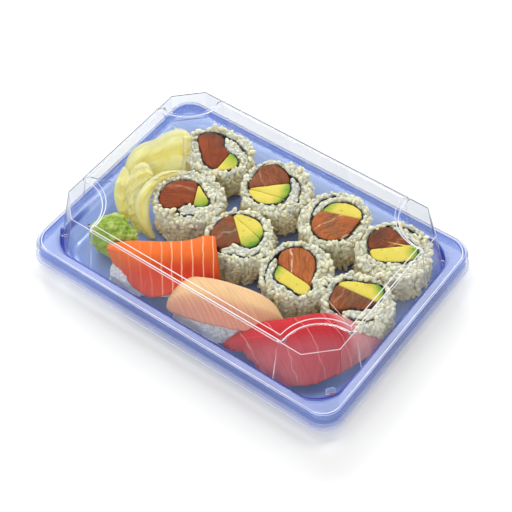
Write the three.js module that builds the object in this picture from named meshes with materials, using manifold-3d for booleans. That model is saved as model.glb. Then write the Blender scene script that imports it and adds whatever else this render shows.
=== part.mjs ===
// Takeaway sushi tray: a blue thermoformed tray under a clear snap-on lid, holding eight
// inside-out rolls, three nigiri, slices of pickled ginger and a lump of wasabi.
// Millimetres. The origin is the centre of the underside, +X runs along the tray, +Z is up.

import * as THREE from 'three';
import { mergeVertices } from 'three/addons/utils/BufferGeometryUtils.js';
import Module from 'manifold-3d';

const wasm = await Module();
wasm.setup();

// ---- Driving dimensions ----

const RIDGE_HALF_LENGTH = 95; // ridge of the rim, measured from the tray's centre
const RIDGE_HALF_WIDTH = 65.8;
const RIDGE_Z = 16; // top of the lid's ridge above the table
const FLOOR_Z = 0.7; // inside face of the tray's floor
const TRAY_WALL = 0.7;
const LID_WALL = 0.6;
const GAP = 0.3; // clearance between pieces that touch
const CORNER_STEPS = 5;

// Profiles of the two shells, as rows of offset from the ridge line, height, corner cut and
// corner roundness, which is 0 for a straight chamfer and 1 for a quarter circle.
const LID_OUTSIDE = [
  [-12.5, RIDGE_Z + 26.9, 11.6, 0],
  [-9.3, RIDGE_Z + 25.0, 13.3, 0],
  [-5.2, RIDGE_Z - 0.3, 14.2, 0.1],
  [-4.2, RIDGE_Z - 1.2, 12.5, 0.6],
  [-1.7, RIDGE_Z - 1.2, 11, 1],
  [-0.8, RIDGE_Z - 0.2, 10.5, 1],
  [0.2, RIDGE_Z, 10.5, 1],
  [1.2, RIDGE_Z - 1.2, 10.5, 1],
  [1.8, RIDGE_Z - 5.0, 11, 1],
  [2.2, RIDGE_Z - 9.6, 11.5, 1],
  [3.0, RIDGE_Z - 10.4, 12, 1],
];
const TRAY_UPPER_FACE = [
  [0.8, RIDGE_Z - 5.0, 10.5, 1],
  [0.35, RIDGE_Z - 1.8, 10.5, 1],
  [0, RIDGE_Z - 1.15, 10.5, 1],
  [-0.45, RIDGE_Z - 1.35, 10.5, 1],
  [-1.3, RIDGE_Z - 2.3, 10.5, 1],
  [-5.6, RIDGE_Z - 2.3, 12, 0.5],
  [-6.3, RIDGE_Z - 2.9, 12, 0.5],
  [-6.8, RIDGE_Z - 5.6, 12, 0.5],
  [-8.0, RIDGE_Z - 6.2, 12.5, 0.5],
  [-9.0, 3.4, 13, 0.5],
  [-9.9, 1.6, 12.5, 0.6],
  [-12, FLOOR_Z, 12, 0.7],
];
// The room that the food may fill, a gap inside both shells.
const FOOD_ROOM = [
  [-12.5, FLOOR_Z + GAP, 12, 0.7],
  [-10.3, 1.9, 12.5, 0.6],
  [-9.4, 3.7, 13, 0.5],
  [-8.4, RIDGE_Z - 5.9, 12.5, 0.5],
  [-7.2, RIDGE_Z - 5.2, 12, 0.5],
  [-6.7, RIDGE_Z - 2.9, 12, 0.5],
  [-6.7, RIDGE_Z, 14, 0.1],
  [-10.4, RIDGE_Z + 24, 14, 0],
];

// Corner pads of the lid: round steps a little below the top panel.
const PAD = { x: 82, y: 53.5, level: RIDGE_Z + 25.5, radius: 21, spread: 2.3 };

const ROLL_BOTTOM = FLOOR_Z + GAP;
const ROLL_STEPS = 24; // points round a roll
const STEP = 360 / ROLL_STEPS;
const NORI = 0.7; // thickness of the seaweed
const GRAIN_BUMP = 0.9; // relief of the rice grains
const RICE_OVER_NORI = 2.3; // least thickness of the outer rice

// The rolls. x, y, rx, ry: centre and half sizes of the rice. top: height of the cut face.
// wrap: the spiral of seaweed. Its loop is given as reaches from its centre at even steps,
// the first at the angle turn. begins: angle of its inner end. way: the way that it winds.
// overlap: degrees by which it passes its beginning. lift: how far its last layer stands off
// the first, the degrees of winding between which it rises, and how much its end flares.
// avocado and slices: lines that cut the filling, as the direction each faces and its
// distance from the wrap's centre. The first parts salmon from avocado, the second the
// slices of avocado.
const ROLLS = [
  {
    x: -52, y: 40, rx: 20, ry: 17.8, top: 20.8,
    wrap: { x: -52, y: 38.5, turn: 0, loop: [15.1, 7, 5.9, 13.3, 16.3, 9.4, 8.5, 11.1, 14.2] },
    begins: 116, overlap: 90, way: -1, lift: [8, 345, 412, 0],
    avocado: [4, 7],
  },
  {
    x: -44, y: 4, rx: 19.4, ry: 18.8, top: 20.6,
    wrap: { x: -47, y: 3, turn: 10, loop: [14.7, 11.2, 11.7, 11.4, 12, 13, 13.2, 8.9, 5.8] },
    begins: -50, overlap: 30, way: 1, lift: [8, 325, 369, 2.5],
    avocado: [27, 6.2],
  },
  {
    x: -10, y: 37.2, rx: 19.3, ry: 19.4, top: 20.3,
    wrap: { x: -13.5, y: 37, turn: 10,
      loop: [11.2, 10.5, 12.8, 15.9, 12.2, 12.2, 13.8, 13.9, 13.1] },
    begins: 45, overlap: 60, way: -1, lift: [5.2, 320, 375, 2.5],
    avocado: [-45, 0], slices: [-75, 6.4],
  },
  {
    x: -6.3, y: -1, rx: 18.3, ry: 18.3, top: 20.2,
    wrap: { x: -8.5, y: -0.5, turn: 20,
      loop: [13.7, 14.2, 13.2, 13.2, 12.4, 14.4, 14.3, 6.6, 12.2] },
    begins: -66, overlap: 60, way: 1, lift: [8, 318, 362, -4.5],
    avocado: [49, 0.4], slices: [77, 6.4],
  },
  {
    x: 28, y: 37, rx: 18.6, ry: 19.6, top: 20.6,
    wrap: { x: 29, y: 36, turn: 15,
      loop: [11.2, 15.4, 14.2, 12.4, 10.2, 12.7, 14.2, 13.8, 12.2] },
    begins: 159, overlap: 45, way: -1, lift: [4.4, 300, 352, 0],
    avocado: [110, 4.6],
  },
  {
    x: 31.4, y: -2.3, rx: 18.9, ry: 19.4, top: 20.2,
    wrap: { x: 31, y: -2, turn: 0, loop: [10, 9.9, 12.4, 14.8, 14, 10.2, 12.9, 12.2, 16.8] },
    begins: 195, overlap: 75, way: 1, lift: [4.6, 318, 372, 1],
    avocado: [-95, 3.4],
  },
  {
    x: 65, y: 37, rx: 19.6, ry: 19.6, top: 20.6,
    wrap: { x: 63, y: 38, turn: 15,
      loop: [14.2, 11.5, 9.3, 14.3, 14.3, 12.1, 12.4, 9.6, 10.9] },
    begins: 117, overlap: 60, way: -1, lift: [6, 335, 385, 0],
    avocado: [-47, -0.3],
  },
  {
    x: 67.6, y: -0.6, rx: 19, ry: 17.8, top: 20.2,
    wrap: { x: 64.5, y: 2, turn: 10,
      loop: [12, 15.2, 9.4, 8.9, 11.2, 11.6, 15, 9.1, 10.6] },
    begins: -78, overlap: 60, way: 1, lift: [6.5, 330, 375, 0],
    avocado: [96, 0.9],
  },
];
const ROLL_WALLS = { x: 86, yBack: 56.4 }; // how far the rolls may lean on the tray's wall

// The nigiri, front left to front right. x, y, turn, length: the slice of fish. back and
// front: its half widths left, in the middle and right. crown: height of its middle line.
// ends: how far it bends down to the left and the right. sides: how far its back and front
// edges hang. skew: slant of its right end. rice: the bed under it.
const NIGIRI = [
  {
    name: 'salmon', color: '#ee7a45', x: -30, y: -35.5, turn: 31, length: 60,
    back: [6, 8, 14.5], front: [6, 18.5, 15], crown: 27, ends: [10, 0], sides: [3, 10], skew: 4,
    thick: 5.4, rice: { x: -32.5, y: -40, length: 55, width: 27, top: 20 },
  },
  {
    name: 'white_fish', color: '#e3b394', x: 15, y: -42, turn: 18, length: 60,
    back: [8, 14, 7], front: [6, 11, 6], crown: 26.5, ends: [11, 8], sides: [4, 6.5], skew: 0,
    thick: 6, rice: { x: 11, y: -43, length: 48, width: 26, top: 19 },
  },
  {
    name: 'tuna', color: '#c24f5a', x: 57, y: -35.5, turn: 38, length: 82,
    back: [3, 13, 6], front: [1.5, 15.5, 9], crown: 26, ends: [19, 8], sides: [1.8, 13], skew: 0,
    thick: 5, rice: { x: 58, y: -37, length: 50, width: 25, top: 18 },
  },
];

const WASABI = { x: -66, y: -34, half: 13, top: 20 };

// Ginger slices: three points of each slice's middle line, its half width, how far its two
// long sides hang below the middle, and the height of its waves.
const GINGER = [
  { path: [[-82, 9, 15], [-76, 24, 26], [-69, 42, 15]], half: 15, droop: 8, wave: 0.6 },
  { path: [[-70, -22, 7], [-78, -8, 17], [-80, 8, 18]], half: 7, droop: 7, wave: 1.2 },
  { path: [[-62, -20, 8], [-69, -2, 19], [-60, 15, 21]], half: 6, droop: 5, wave: 0.8 },
  { path: [[-50, -27, 6], [-60, -19, 13], [-65, -8, 17]], half: 6.5, droop: 6, wave: 1 },
  { path: [[-60, -25, 5], [-71, -17, 13], [-77, -4, 22]], half: 5, droop: 5, wave: 0.6 },
];

const FINISH = {
  tray: { color: '#7f96e0', roughness: 0.25 },
  lid: { color: '#eef2f6', roughness: 0.08, transparent: true, opacity: 0.3 },
  rice: { color: '#e2ddc4', roughness: 0.55 },
  nori: { color: '#1c1f1a', roughness: 0.6 },
  salmon: { color: '#b4633c', roughness: 0.4 },
  avocado: { color: '#e5d657', roughness: 0.5 },
  ginger: { color: '#e6d68c', roughness: 0.35 },
  wasabi: { color: '#a4bd5c', roughness: 0.7 },
};

// ---- Small helpers ----

const radians = THREE.MathUtils.degToRad;

/** Repeatable random numbers from 0 to 1. */
function seeded(seed) {
  let state = seed;
  return () => {
    state = (state * 1664525 + 1013904223) % 4294967296;
    return state / 4294967296;
  };
}

/** Signed volume of an indexed geometry, positive when its faces point out. */
function signedVolume(geometry) {
  const point = geometry.getAttribute('position');
  const index = geometry.getIndex().array;
  const a = new THREE.Vector3();
  const b = new THREE.Vector3();
  const c = new THREE.Vector3();
  let volume = 0;
  for (let i = 0; i < index.length; i += 3) {
    a.fromBufferAttribute(point, index[i]);
    b.fromBufferAttribute(point, index[i + 1]);
    c.fromBufferAttribute(point, index[i + 2]);
    volume += a.dot(b.cross(c)) / 6;
  }
  return volume;
}

function geometryFrom(positions, index) {
  const geometry = new THREE.BufferGeometry();
  geometry.setAttribute('position', new THREE.Float32BufferAttribute(positions, 3));
  geometry.setIndex(index);
  if (signedVolume(geometry) < 0) {
    index.reverse();
    geometry.setIndex(index);
  }
  return geometry;
}

/** A closed solid through rings of points. Each end is closed by a strip that joins the
 *  ring's first half to its second, or the last ring meets the first round a hole. */
function loft(rings, roundAHole = false) {
  const count = rings[0].length;
  const positions = rings.flat(2);
  const index = [];
  const spans = roundAHole ? rings.length : rings.length - 1;
  for (let r = 0; r < spans; r += 1) {
    const here = r * count;
    const next = ((r + 1) % rings.length) * count;
    for (let i = 0; i < count; i += 1) {
      const j = (i + 1) % count;
      index.push(here + i, here + j, next + j, here + i, next + j, next + i);
    }
  }
  if (!roundAHole) {
    const last = (rings.length - 1) * count;
    for (let i = 0; i < count / 2 - 1; i += 1) {
      const far = count - 1 - i;
      index.push(i + 1, i, far, i + 1, far, far - 1);
      index.push(last + i, last + i + 1, last + far, last + far, last + i + 1, last + far - 1);
    }
  }
  return geometryFrom(positions, index);
}

/** The same solid with its faces moved out, so that a piece cut by it keeps its gap. */
function grown(geometry, distance = GAP) {
  const welded = mergeVertices(bare(geometry));
  const point = welded.getAttribute('position');
  const index = welded.getIndex().array;
  const facing = Array.from({ length: point.count }, () => []);
  const face = new THREE.Triangle();
  for (let i = 0; i < index.length; i += 3) {
    face.setFromAttributeAndIndices(point, index[i], index[i + 1], index[i + 2]);
    const normal = face.getNormal(new THREE.Vector3());
    if (normal.length() === 0) continue;
    for (const corner of [0, 1, 2]) facing[index[i + corner]].push(normal);
  }
  facing.forEach((normals, i) => {
    const mean = normals.reduce((sum, n) => sum.add(n), new THREE.Vector3()).normalize();
    const least = Math.min(...normals.map((n) => n.dot(mean)));
    const move = mean.multiplyScalar(distance / Math.max(least, 0.3));
    point.setXYZ(i, point.getX(i) + move.x, point.getY(i) + move.y, point.getZ(i) + move.z);
  });
  return welded;
}

/** A copy that holds positions alone. */
function bare(geometry) {
  const copy = geometry.clone();
  copy.deleteAttribute('normal');
  copy.deleteAttribute('uv');
  return copy;
}

function toManifold(geometry) {
  const welded = mergeVertices(bare(geometry));
  const vertProperties = new Float32Array(welded.getAttribute('position').array);
  const triVerts = new Uint32Array(welded.getIndex().array);
  return new wasm.Manifold(new wasm.Mesh({ numProp: 3, vertProperties, triVerts }));
}

/** The largest single body of a manifold, as a geometry. */
function fromManifold(solid) {
  const bodies = solid.decompose();
  const largest = bodies.reduce((a, b) => (a.volume() > b.volume() ? a : b));
  const mesh = largest.getMesh();
  return geometryFrom(Array.from(mesh.vertProperties), Array.from(mesh.triVerts));
}

/** The piece, kept inside the food room and clear of its neighbours. */
function fitted(geometry, neighbours) {
  let solid = toManifold(geometry).intersect(foodRoom);
  for (const neighbour of neighbours) {
    solid = solid.subtract(toManifold(grown(neighbour)));
  }
  return fromManifold(solid);
}

// ---- Tray and lid ----

/** Plan of the tray at an offset from the ridge line: a rectangle with cut or round corners. */
function planRing([offset, z, cut, roundness]) {
  const halfX = RIDGE_HALF_LENGTH + offset;
  const halfY = RIDGE_HALF_WIDTH + offset;
  const corner = [];
  for (let i = 0; i <= CORNER_STEPS; i += 1) {
    const t = i / CORNER_STEPS;
    const angle = (t * Math.PI) / 2;
    const x = THREE.MathUtils.lerp(cut * (1 - t), cut * Math.cos(angle), roundness);
    const y = THREE.MathUtils.lerp(cut * t, cut * Math.sin(angle), roundness);
    corner.push([halfX - cut + x, halfY - cut + y]);
  }
  const back = [...corner].reverse();
  return [
    ...corner.map(([x, y]) => [x, y, z]),
    ...back.map(([x, y]) => [-x, y, z]),
    ...corner.map(([x, y]) => [-x, -y, z]),
    ...back.map(([x, y]) => [x, -y, z]),
  ];
}

/** The profile moved sideways by a distance, to the right of the way it runs. */
function besideProfile(profile, distance) {
  return profile.map(([offset, z, cut, roundness], i) => {
    const [offsetA, zA] = profile[Math.max(i - 1, 0)];
    const [offsetB, zB] = profile[Math.min(i + 1, profile.length - 1)];
    const run = Math.hypot(offsetB - offsetA, zB - zA);
    const moveOut = ((zB - zA) / run) * distance;
    const moveUp = (-(offsetB - offsetA) / run) * distance;
    return [offset + moveOut, z + moveUp, cut, roundness];
  });
}

function trayGeometry() {
  const underside = besideProfile(TRAY_UPPER_FACE, -TRAY_WALL);
  underside[underside.length - 1][1] = 0;
  const rows = [...underside.reverse(), ...TRAY_UPPER_FACE];
  return loft(rows.map(planRing));
}

/** Cone that sinks one corner pad into the dome. */
function padCutter(signX, signY, lower) {
  const height = 6;
  const radius = PAD.radius + lower * 0.6;
  const cone = new THREE.CylinderGeometry(radius + height * PAD.spread, radius, height, 40);
  cone.rotateX(Math.PI / 2);
  cone.translate(signX * PAD.x, signY * PAD.y, PAD.level - lower + height / 2);
  return toManifold(cone);
}

/** One face of the dome as a full solid, closed across the skirt's edge. */
function domeSolid(profile, lower, reach) {
  const edge = profile.at(-1);
  const rows = [...profile, [edge[0], edge[1] - reach, edge[2], edge[3]]];
  let solid = toManifold(loft(rows.map(planRing)));
  for (const signX of [-1, 1]) {
    for (const signY of [-1, 1]) {
      solid = solid.subtract(padCutter(signX, signY, lower));
    }
  }
  return solid;
}

function lidGeometry() {
  const inside = besideProfile(LID_OUTSIDE, LID_WALL);
  inside[0][1] = LID_OUTSIDE[0][1] - LID_WALL;
  const outer = domeSolid(LID_OUTSIDE, 0, 0.2);
  const inner = domeSolid(inside, LID_WALL, 3);
  return fromManifold(outer.subtract(inner));
}

const foodRoom = toManifold(loft(FOOD_ROOM.map(planRing)));

// ---- Rolls ----

function ellipseRadius(rx, ry, angle) {
  return 1 / Math.hypot(Math.cos(angle) / rx, Math.sin(angle) / ry);
}

/** Reach of a roll's rice from its centre: an ellipse, pressed flat where the next roll or
 *  the tray's wall is. */
function riceReach(roll, angle) {
  let reach = ellipseRadius(roll.rx, roll.ry, angle);
  const flats = [
    [0, ROLL_WALLS.x - roll.x],
    [Math.PI / 2, ROLL_WALLS.yBack - roll.y],
  ];
  for (const other of ROLLS) {
    if (other === roll) continue;
    const facing = Math.atan2(other.y - roll.y, other.x - roll.x);
    const apart = Math.hypot(other.y - roll.y, other.x - roll.x);
    const mine = ellipseRadius(roll.rx, roll.ry, facing);
    const theirs = ellipseRadius(other.rx, other.ry, facing);
    const pressed = Math.max(0, mine + theirs + GAP - apart);
    flats.push([facing, mine - pressed / 2]);
  }
  for (const [facing, distance] of flats) {
    const along = Math.cos(angle - facing);
    if (along > 0.2) reach = Math.min(reach, distance / along);
  }
  return reach;
}

/** Reach of the seaweed's loop at an angle, smoothly joined through its given reaches. */
function loopReach({ turn, loop }, angle) {
  const count = loop.length;
  const place = (((((angle - turn) / 360) * count) % count) + count) % count;
  const i = Math.floor(place);
  const t = place - i;
  const [a, b, c, d] = [-1, 0, 1, 2].map((k) => loop[(i + k + count) % count]);
  const curve = 2 * a - 5 * b + 4 * c - d + t * (3 * (b - c) + d - a);
  return b + 0.5 * t * (c - a + t * curve);
}

/** A point of the seaweed's spiral, moved out by a distance at right angles to it. */
function wrapPoint(roll, wound, distance, lifted = true) {
  const { wrap, begins, overlap, way, lift: [height, from, to, flare] } = roll;
  const at = (degrees) => {
    const angle = begins + way * degrees;
    const rise = height * THREE.MathUtils.smoothstep(degrees, from, to);
    const late = THREE.MathUtils.clamp((degrees - 360) / overlap - 0.5, 0, 0.5) * 2;
    const reach = loopReach(wrap, angle) + (lifted ? rise + flare * late : 0);
    return [
      wrap.x + reach * Math.cos(radians(angle)),
      wrap.y + reach * Math.sin(radians(angle)),
    ];
  };
  const [x, y] = at(wound);
  const [x0, y0] = at(wound - 2);
  const [x1, y1] = at(wound + 2);
  const run = Math.hypot(x1 - x0, y1 - y0) * way;
  return [x + (distance * (y1 - y0)) / run, y - (distance * (x1 - x0)) / run];
}

/** Points of the spiral between two amounts of winding, at whole steps and at both ends. */
function wrapLine(roll, from, to, distance, lifted = true) {
  const wounds = [from];
  for (let i = Math.ceil(from / STEP + 0.2); i * STEP < to - 0.2 * STEP; i += 1) {
    wounds.push(i * STEP);
  }
  return [...wounds, to].map((wound) => wrapPoint(roll, wound, distance, lifted));
}

/** What is left of an outline on the near side of a line, given as facing and distance. */
function cutOutline(points, roll, [facing, distance]) {
  const { x, y } = roll.wrap;
  const nx = Math.cos(radians(facing));
  const ny = Math.sin(radians(facing));
  const beyond = ([px, py]) => (px - x) * nx + (py - y) * ny - distance;
  const kept = [];
  points.forEach((point, i) => {
    const next = points[(i + 1) % points.length];
    const here = beyond(point);
    const there = beyond(next);
    if (here <= 0) kept.push(point);
    if (here * there < 0) {
      const t = here / (here - there);
      kept.push([
        THREE.MathUtils.lerp(point[0], next[0], t),
        THREE.MathUtils.lerp(point[1], next[1], t),
      ]);
    }
  });
  return kept;
}

/** The line moved along the way it faces, and the same line facing back. */
const shifted = ([facing, distance], by) => [facing, distance + by];
const reversed = ([facing, distance]) => [facing + 180, -distance];

/** An upright solid of an outline. */
function upright(points, bottom, top) {
  const shape = new THREE.Shape(points.map(([x, y]) => new THREE.Vector2(x, y)));
  const depth = top - bottom;
  const geometry = new THREE.ExtrudeGeometry(shape, { depth, bevelEnabled: false });
  geometry.translate(0, 0, bottom);
  return mergeVertices(bare(geometry));
}

/** The outer rice: a thick ring with grain-sized bumps on its side and its cut face. Its
 *  hole follows the outermost layer of the seaweed, and steps in past the seaweed's end. */
function rollRice(roll, random) {
  const height = roll.top - ROLL_BOTTOM;
  const end = roll.overlap + 360;
  const inner = wrapLine(roll, roll.overlap, end, NORI / 2 + GAP).slice(1);
  const [beforeX, beforeY] = wrapPoint(roll, end - STEP / 2, NORI / 2 + GAP);
  const [endX, endY] = inner.at(-1);
  const run = Math.hypot(endX - beforeX, endY - beforeY) / (2 * GAP);
  inner[ROLL_STEPS - 1] = [endX + (endX - beforeX) / run, endY + (endY - beforeY) / run];
  const side = [[0, 0.94], [0.3, 1], [0.65, 1], [0.95, 0.97]];
  const rings = side.map(([level, share]) => inner.map(([x, y]) => {
    const angle = Math.atan2(y - roll.y, x - roll.x);
    const wrapped = Math.hypot(y - roll.y, x - roll.x) + RICE_OVER_NORI;
    const reach = Math.max(riceReach(roll, angle) * share, wrapped) - GRAIN_BUMP * random();
    return [
      roll.x + reach * Math.cos(angle),
      roll.y + reach * Math.sin(angle),
      ROLL_BOTTOM + height * level,
    ];
  }));
  const edge = rings.at(-1);
  for (const share of [0.3, 0.65]) {
    rings.push(inner.map(([x, y], i) => [
      THREE.MathUtils.lerp(edge[i][0], x, share),
      THREE.MathUtils.lerp(edge[i][1], y, share),
      roll.top + GRAIN_BUMP * (random() - 0.4),
    ]));
  }
  rings.push(inner.map(([x, y]) => [x, y, roll.top + GRAIN_BUMP * (random() - 0.7)]));
  rings.push(inner.map(([x, y]) => [x, y, ROLL_BOTTOM]));
  return loft(rings, true);
}

/** The seaweed: one strip wound round the filling and a little past its own beginning. */
function rollNori(roll) {
  const end = 360 + roll.overlap;
  const outside = wrapLine(roll, 0, end, NORI / 2);
  const inside = wrapLine(roll, 0, end, -NORI / 2).reverse();
  return upright([...outside, ...inside], ROLL_BOTTOM, roll.top + 0.1);
}

/** The rice between the two layers of the seaweed. */
function coreOutline(roll) {
  const inset = NORI / 2 + GAP;
  const [, from, to] = roll.lift;
  const start = THREE.MathUtils.lerp(from, to, 0.5) - 360;
  return [
    ...wrapLine(roll, start, roll.overlap + 3, inset + GAP, false),
    ...wrapLine(roll, start + 360, roll.overlap + 357, -inset).reverse(),
  ];
}

/** Everything inside the seaweed, as named outlines. */
function rollFilling(roll) {
  const held = wrapLine(roll, 0, 360, -NORI / 2 - GAP, false).slice(1);
  const avocado = cutOutline(held, roll, reversed(shifted(roll.avocado, GAP / 2)));
  const pieces = {
    core_rice: coreOutline(roll),
    salmon: cutOutline(held, roll, shifted(roll.avocado, -GAP / 2)),
  };
  if (roll.slices) {
    pieces.avocado_a = cutOutline(avocado, roll, shifted(roll.slices, -GAP / 2));
    pieces.avocado_b = cutOutline(avocado, roll, reversed(shifted(roll.slices, GAP / 2)));
  } else {
    pieces.avocado = avocado;
  }
  return pieces;
}

// ---- Nigiri, wasabi and ginger ----

/** A lump of rice or paste with a rounded top, its skin broken up by bumps. */
function lump({ x, y, turn = 0, halfX, halfY, top, bump, steps }, random) {
  const levels = [[0, 0.88], [0.25, 1], [0.65, 1], [0.9, 0.8], [1, 0.45]];
  const height = top - ROLL_BOTTOM;
  const turned = radians(turn);
  const rings = levels.map(([level, share]) => {
    const ring = [];
    for (let i = 0; i < steps; i += 1) {
      const angle = (i / steps) * 2 * Math.PI;
      const square = (Math.abs(Math.cos(angle)) ** 3 + Math.abs(Math.sin(angle)) ** 3) ** (-1 / 3);
      const reachX = halfX * square * share - bump * random();
      const reachY = halfY * square * share - bump * random();
      const along = reachX * Math.cos(angle);
      const across = reachY * Math.sin(angle);
      ring.push([
        x + along * Math.cos(turned) - across * Math.sin(turned),
        y + along * Math.sin(turned) + across * Math.cos(turned),
        ROLL_BOTTOM + height * level + (level > 0 && level < 1 ? bump * (random() - 0.5) : 0),
      ]);
    }
    return ring;
  });
  return loft(rings);
}

/** A slice lofted from cross sections. middle gives its middle line and sideways direction,
 *  half its half width on a side, drop how far a point across it hangs. */
function slice({ stations, across, middle, half, drop, thick, skew = 0 }) {
  const rings = [];
  for (let s = 0; s <= stations; s += 1) {
    const along = (s / stations) * 2 - 1;
    const { x, y, z, sideX, sideY } = middle(along);
    const upper = [];
    const lower = [];
    for (let k = 0; k <= across; k += 1) {
      const t = (k / across) * 2 - 1;
      const reach = half(along, t) * t;
      const slant = -skew * t * Math.max(0, along);
      const surface = z - drop(along, t);
      const edge = Math.sqrt(Math.max(0, 1 - t * t * 0.75));
      const px = x + sideX * reach + sideY * slant;
      const py = y + sideY * reach - sideX * slant;
      upper.push([px, py, surface]);
      lower.push([px, py, surface - thick * edge]);
    }
    rings.push([...upper, ...lower.reverse()]);
  }
  return loft(rings);
}

/** A value between a left, a middle and a right one. */
function spread([left, middle, right], along) {
  return THREE.MathUtils.lerp(middle, along < 0 ? left : right, along * along);
}

function nigiriFish(fish) {
  const turned = radians(fish.turn);
  const [leftDrop, rightDrop] = fish.ends;
  const [backDrop, frontDrop] = fish.sides;
  return slice({
    stations: 10,
    across: 6,
    thick: fish.thick,
    skew: fish.skew,
    middle: (along) => ({
      x: fish.x + (along * fish.length * Math.cos(turned)) / 2,
      y: fish.y + (along * fish.length * Math.sin(turned)) / 2,
      z: fish.crown - (along < 0 ? leftDrop : rightDrop) * Math.abs(along) ** 2.4,
      sideX: -Math.sin(turned),
      sideY: Math.cos(turned),
    }),
    half: (along, t) => spread(t > 0 ? fish.back : fish.front, along),
    drop: (along, t) => {
      const side = t > 0 ? fish.back : fish.front;
      const share = Math.min(1, spread(side, along) / side[1]);
      return (t > 0 ? backDrop : frontDrop) * share * Math.abs(t) ** 2.2;
    },
  });
}

function nigiriRice(fish, random) {
  const { x, y, length, width, top } = fish.rice;
  const half = { halfX: length / 2, halfY: width / 2 };
  return lump({ x, y, turn: fish.turn, ...half, top, bump: GRAIN_BUMP, steps: 14 }, random);
}

function gingerSlice({ path, half, droop, wave }) {
  const curve = new THREE.CatmullRomCurve3(path.map((p) => new THREE.Vector3(...p)));
  return slice({
    stations: 9,
    across: 4,
    thick: 2,
    middle: (along) => {
      const t = (along + 1) / 2;
      const point = curve.getPoint(t);
      const way = curve.getTangent(t).setZ(0).normalize();
      return { x: point.x, y: point.y, z: point.z, sideX: -way.y, sideY: way.x };
    },
    half: (along) => half * (0.25 + 0.75 * Math.sqrt(1 - along * along)),
    drop: (along, t) => droop * t * t + wave * Math.sin(9 * along + 4 * t),
  });
}

// ---- The object ----

const tray = new THREE.Group();

function add(name, geometry, finish) {
  const material = new THREE.MeshStandardMaterial({ metalness: 0, ...finish });
  const mesh = new THREE.Mesh(geometry, material);
  mesh.name = name;
  tray.add(mesh);
  return geometry;
}

add('tray', trayGeometry(), FINISH.tray);
add('lid', lidGeometry(), FINISH.lid);

const rollBodies = ROLLS.flatMap((roll, i) => {
  const name = `roll_${i + 1}`;
  const random = seeded(100 + i);
  add(`${name}_nori`, rollNori(roll), FINISH.nori);
  for (const [piece, outline] of Object.entries(rollFilling(roll))) {
    const kind = piece.startsWith('avocado') ? 'avocado' : piece.replace('core_rice', 'rice');
    const top = roll.top + 0.8 * (random() - 0.5);
    add(`${name}_${piece}`, upright(outline, ROLL_BOTTOM, top), FINISH[kind]);
  }
  const rice = add(`${name}_rice`, fitted(rollRice(roll, random), []), FINISH.rice);
  const wrapped = wrapLine(roll, roll.overlap, roll.overlap + 360, NORI / 2);
  return [rice, upright(wrapped, ROLL_BOTTOM, roll.top + 0.1)];
});

// Each piece is cut clear of those laid before it.
const placed = [...rollBodies];
function lay(name, geometry, finish) {
  add(name, fitted(geometry, placed), finish);
  placed.push(geometry);
}

for (const fish of [...NIGIRI].reverse()) {
  const finish = { color: fish.color, roughness: 0.35 };
  lay(`nigiri_${fish.name}_fish`, nigiriFish(fish), finish);
}
NIGIRI.forEach((fish, i) => {
  lay(`nigiri_${fish.name}_rice`, nigiriRice(fish, seeded(200 + i)), FINISH.rice);
});

const paste = lump({
  x: WASABI.x,
  y: WASABI.y,
  halfX: WASABI.half,
  halfY: WASABI.half,
  top: WASABI.top,
  bump: 2.2,
  steps: 16,
}, seeded(300));
lay('wasabi', paste, FINISH.wasabi);
GINGER.forEach((leaf, i) => lay(`ginger_${i + 1}`, gingerSlice(leaf), FINISH.ginger));

export default tray;
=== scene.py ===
# %% [markdown]
# # A takeaway sushi tray
# A blue plastic tray under a clear lid holds eight inside-out rolls, three nigiri, pickled
# ginger and wasabi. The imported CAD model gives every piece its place. Here each piece gets
# its real surface: rice becomes grains, the lid becomes a thin moulded sheet.

import math

import bpy
import numpy as np
from mathutils import Matrix, Vector


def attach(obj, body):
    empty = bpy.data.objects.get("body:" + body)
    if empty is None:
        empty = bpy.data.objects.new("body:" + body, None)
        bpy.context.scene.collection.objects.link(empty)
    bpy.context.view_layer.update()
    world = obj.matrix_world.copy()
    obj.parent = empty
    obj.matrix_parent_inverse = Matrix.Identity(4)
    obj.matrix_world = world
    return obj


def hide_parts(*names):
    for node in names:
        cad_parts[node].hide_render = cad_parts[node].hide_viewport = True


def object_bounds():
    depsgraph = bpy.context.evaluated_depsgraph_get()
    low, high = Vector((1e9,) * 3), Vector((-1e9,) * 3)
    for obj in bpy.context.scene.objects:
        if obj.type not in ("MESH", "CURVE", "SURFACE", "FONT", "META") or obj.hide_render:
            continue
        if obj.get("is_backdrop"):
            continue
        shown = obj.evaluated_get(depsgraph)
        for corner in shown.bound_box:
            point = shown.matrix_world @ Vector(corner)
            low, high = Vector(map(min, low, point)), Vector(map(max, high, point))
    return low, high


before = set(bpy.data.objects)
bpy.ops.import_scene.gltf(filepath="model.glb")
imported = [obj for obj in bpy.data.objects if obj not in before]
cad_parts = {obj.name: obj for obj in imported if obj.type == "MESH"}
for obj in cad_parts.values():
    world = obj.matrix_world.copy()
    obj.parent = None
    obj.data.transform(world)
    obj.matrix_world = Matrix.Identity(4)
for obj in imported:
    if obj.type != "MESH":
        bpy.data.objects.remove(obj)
cad_low, cad_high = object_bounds()
print("CAD nodes:", len(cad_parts))

# %% [markdown]
# ## Camera, floor and light
# Food in a clear box is best lit by large soft lamps, because small ones leave hard glints
# in the lid. A bright world gives the even light. Wide lamps behind the tray and to its left
# add a soft shadow towards the viewer, and a lamp in front fills it. The camera looks down
# at about fifty degrees.

# %% Camera
MM = 0.001  # the script thinks in millimetres and Blender in metres
VIEW_AZIMUTH, VIEW_ELEVATION, VIEW_ROLL = 37.862, 51.264, -1.736
VIEW_TARGET = np.array([6.76, -4.44, 16.0])
VIEW_DISTANCE = 746.1
FOCAL_LENGTH = 100.64  # mm on a 36 mm sensor


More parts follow.
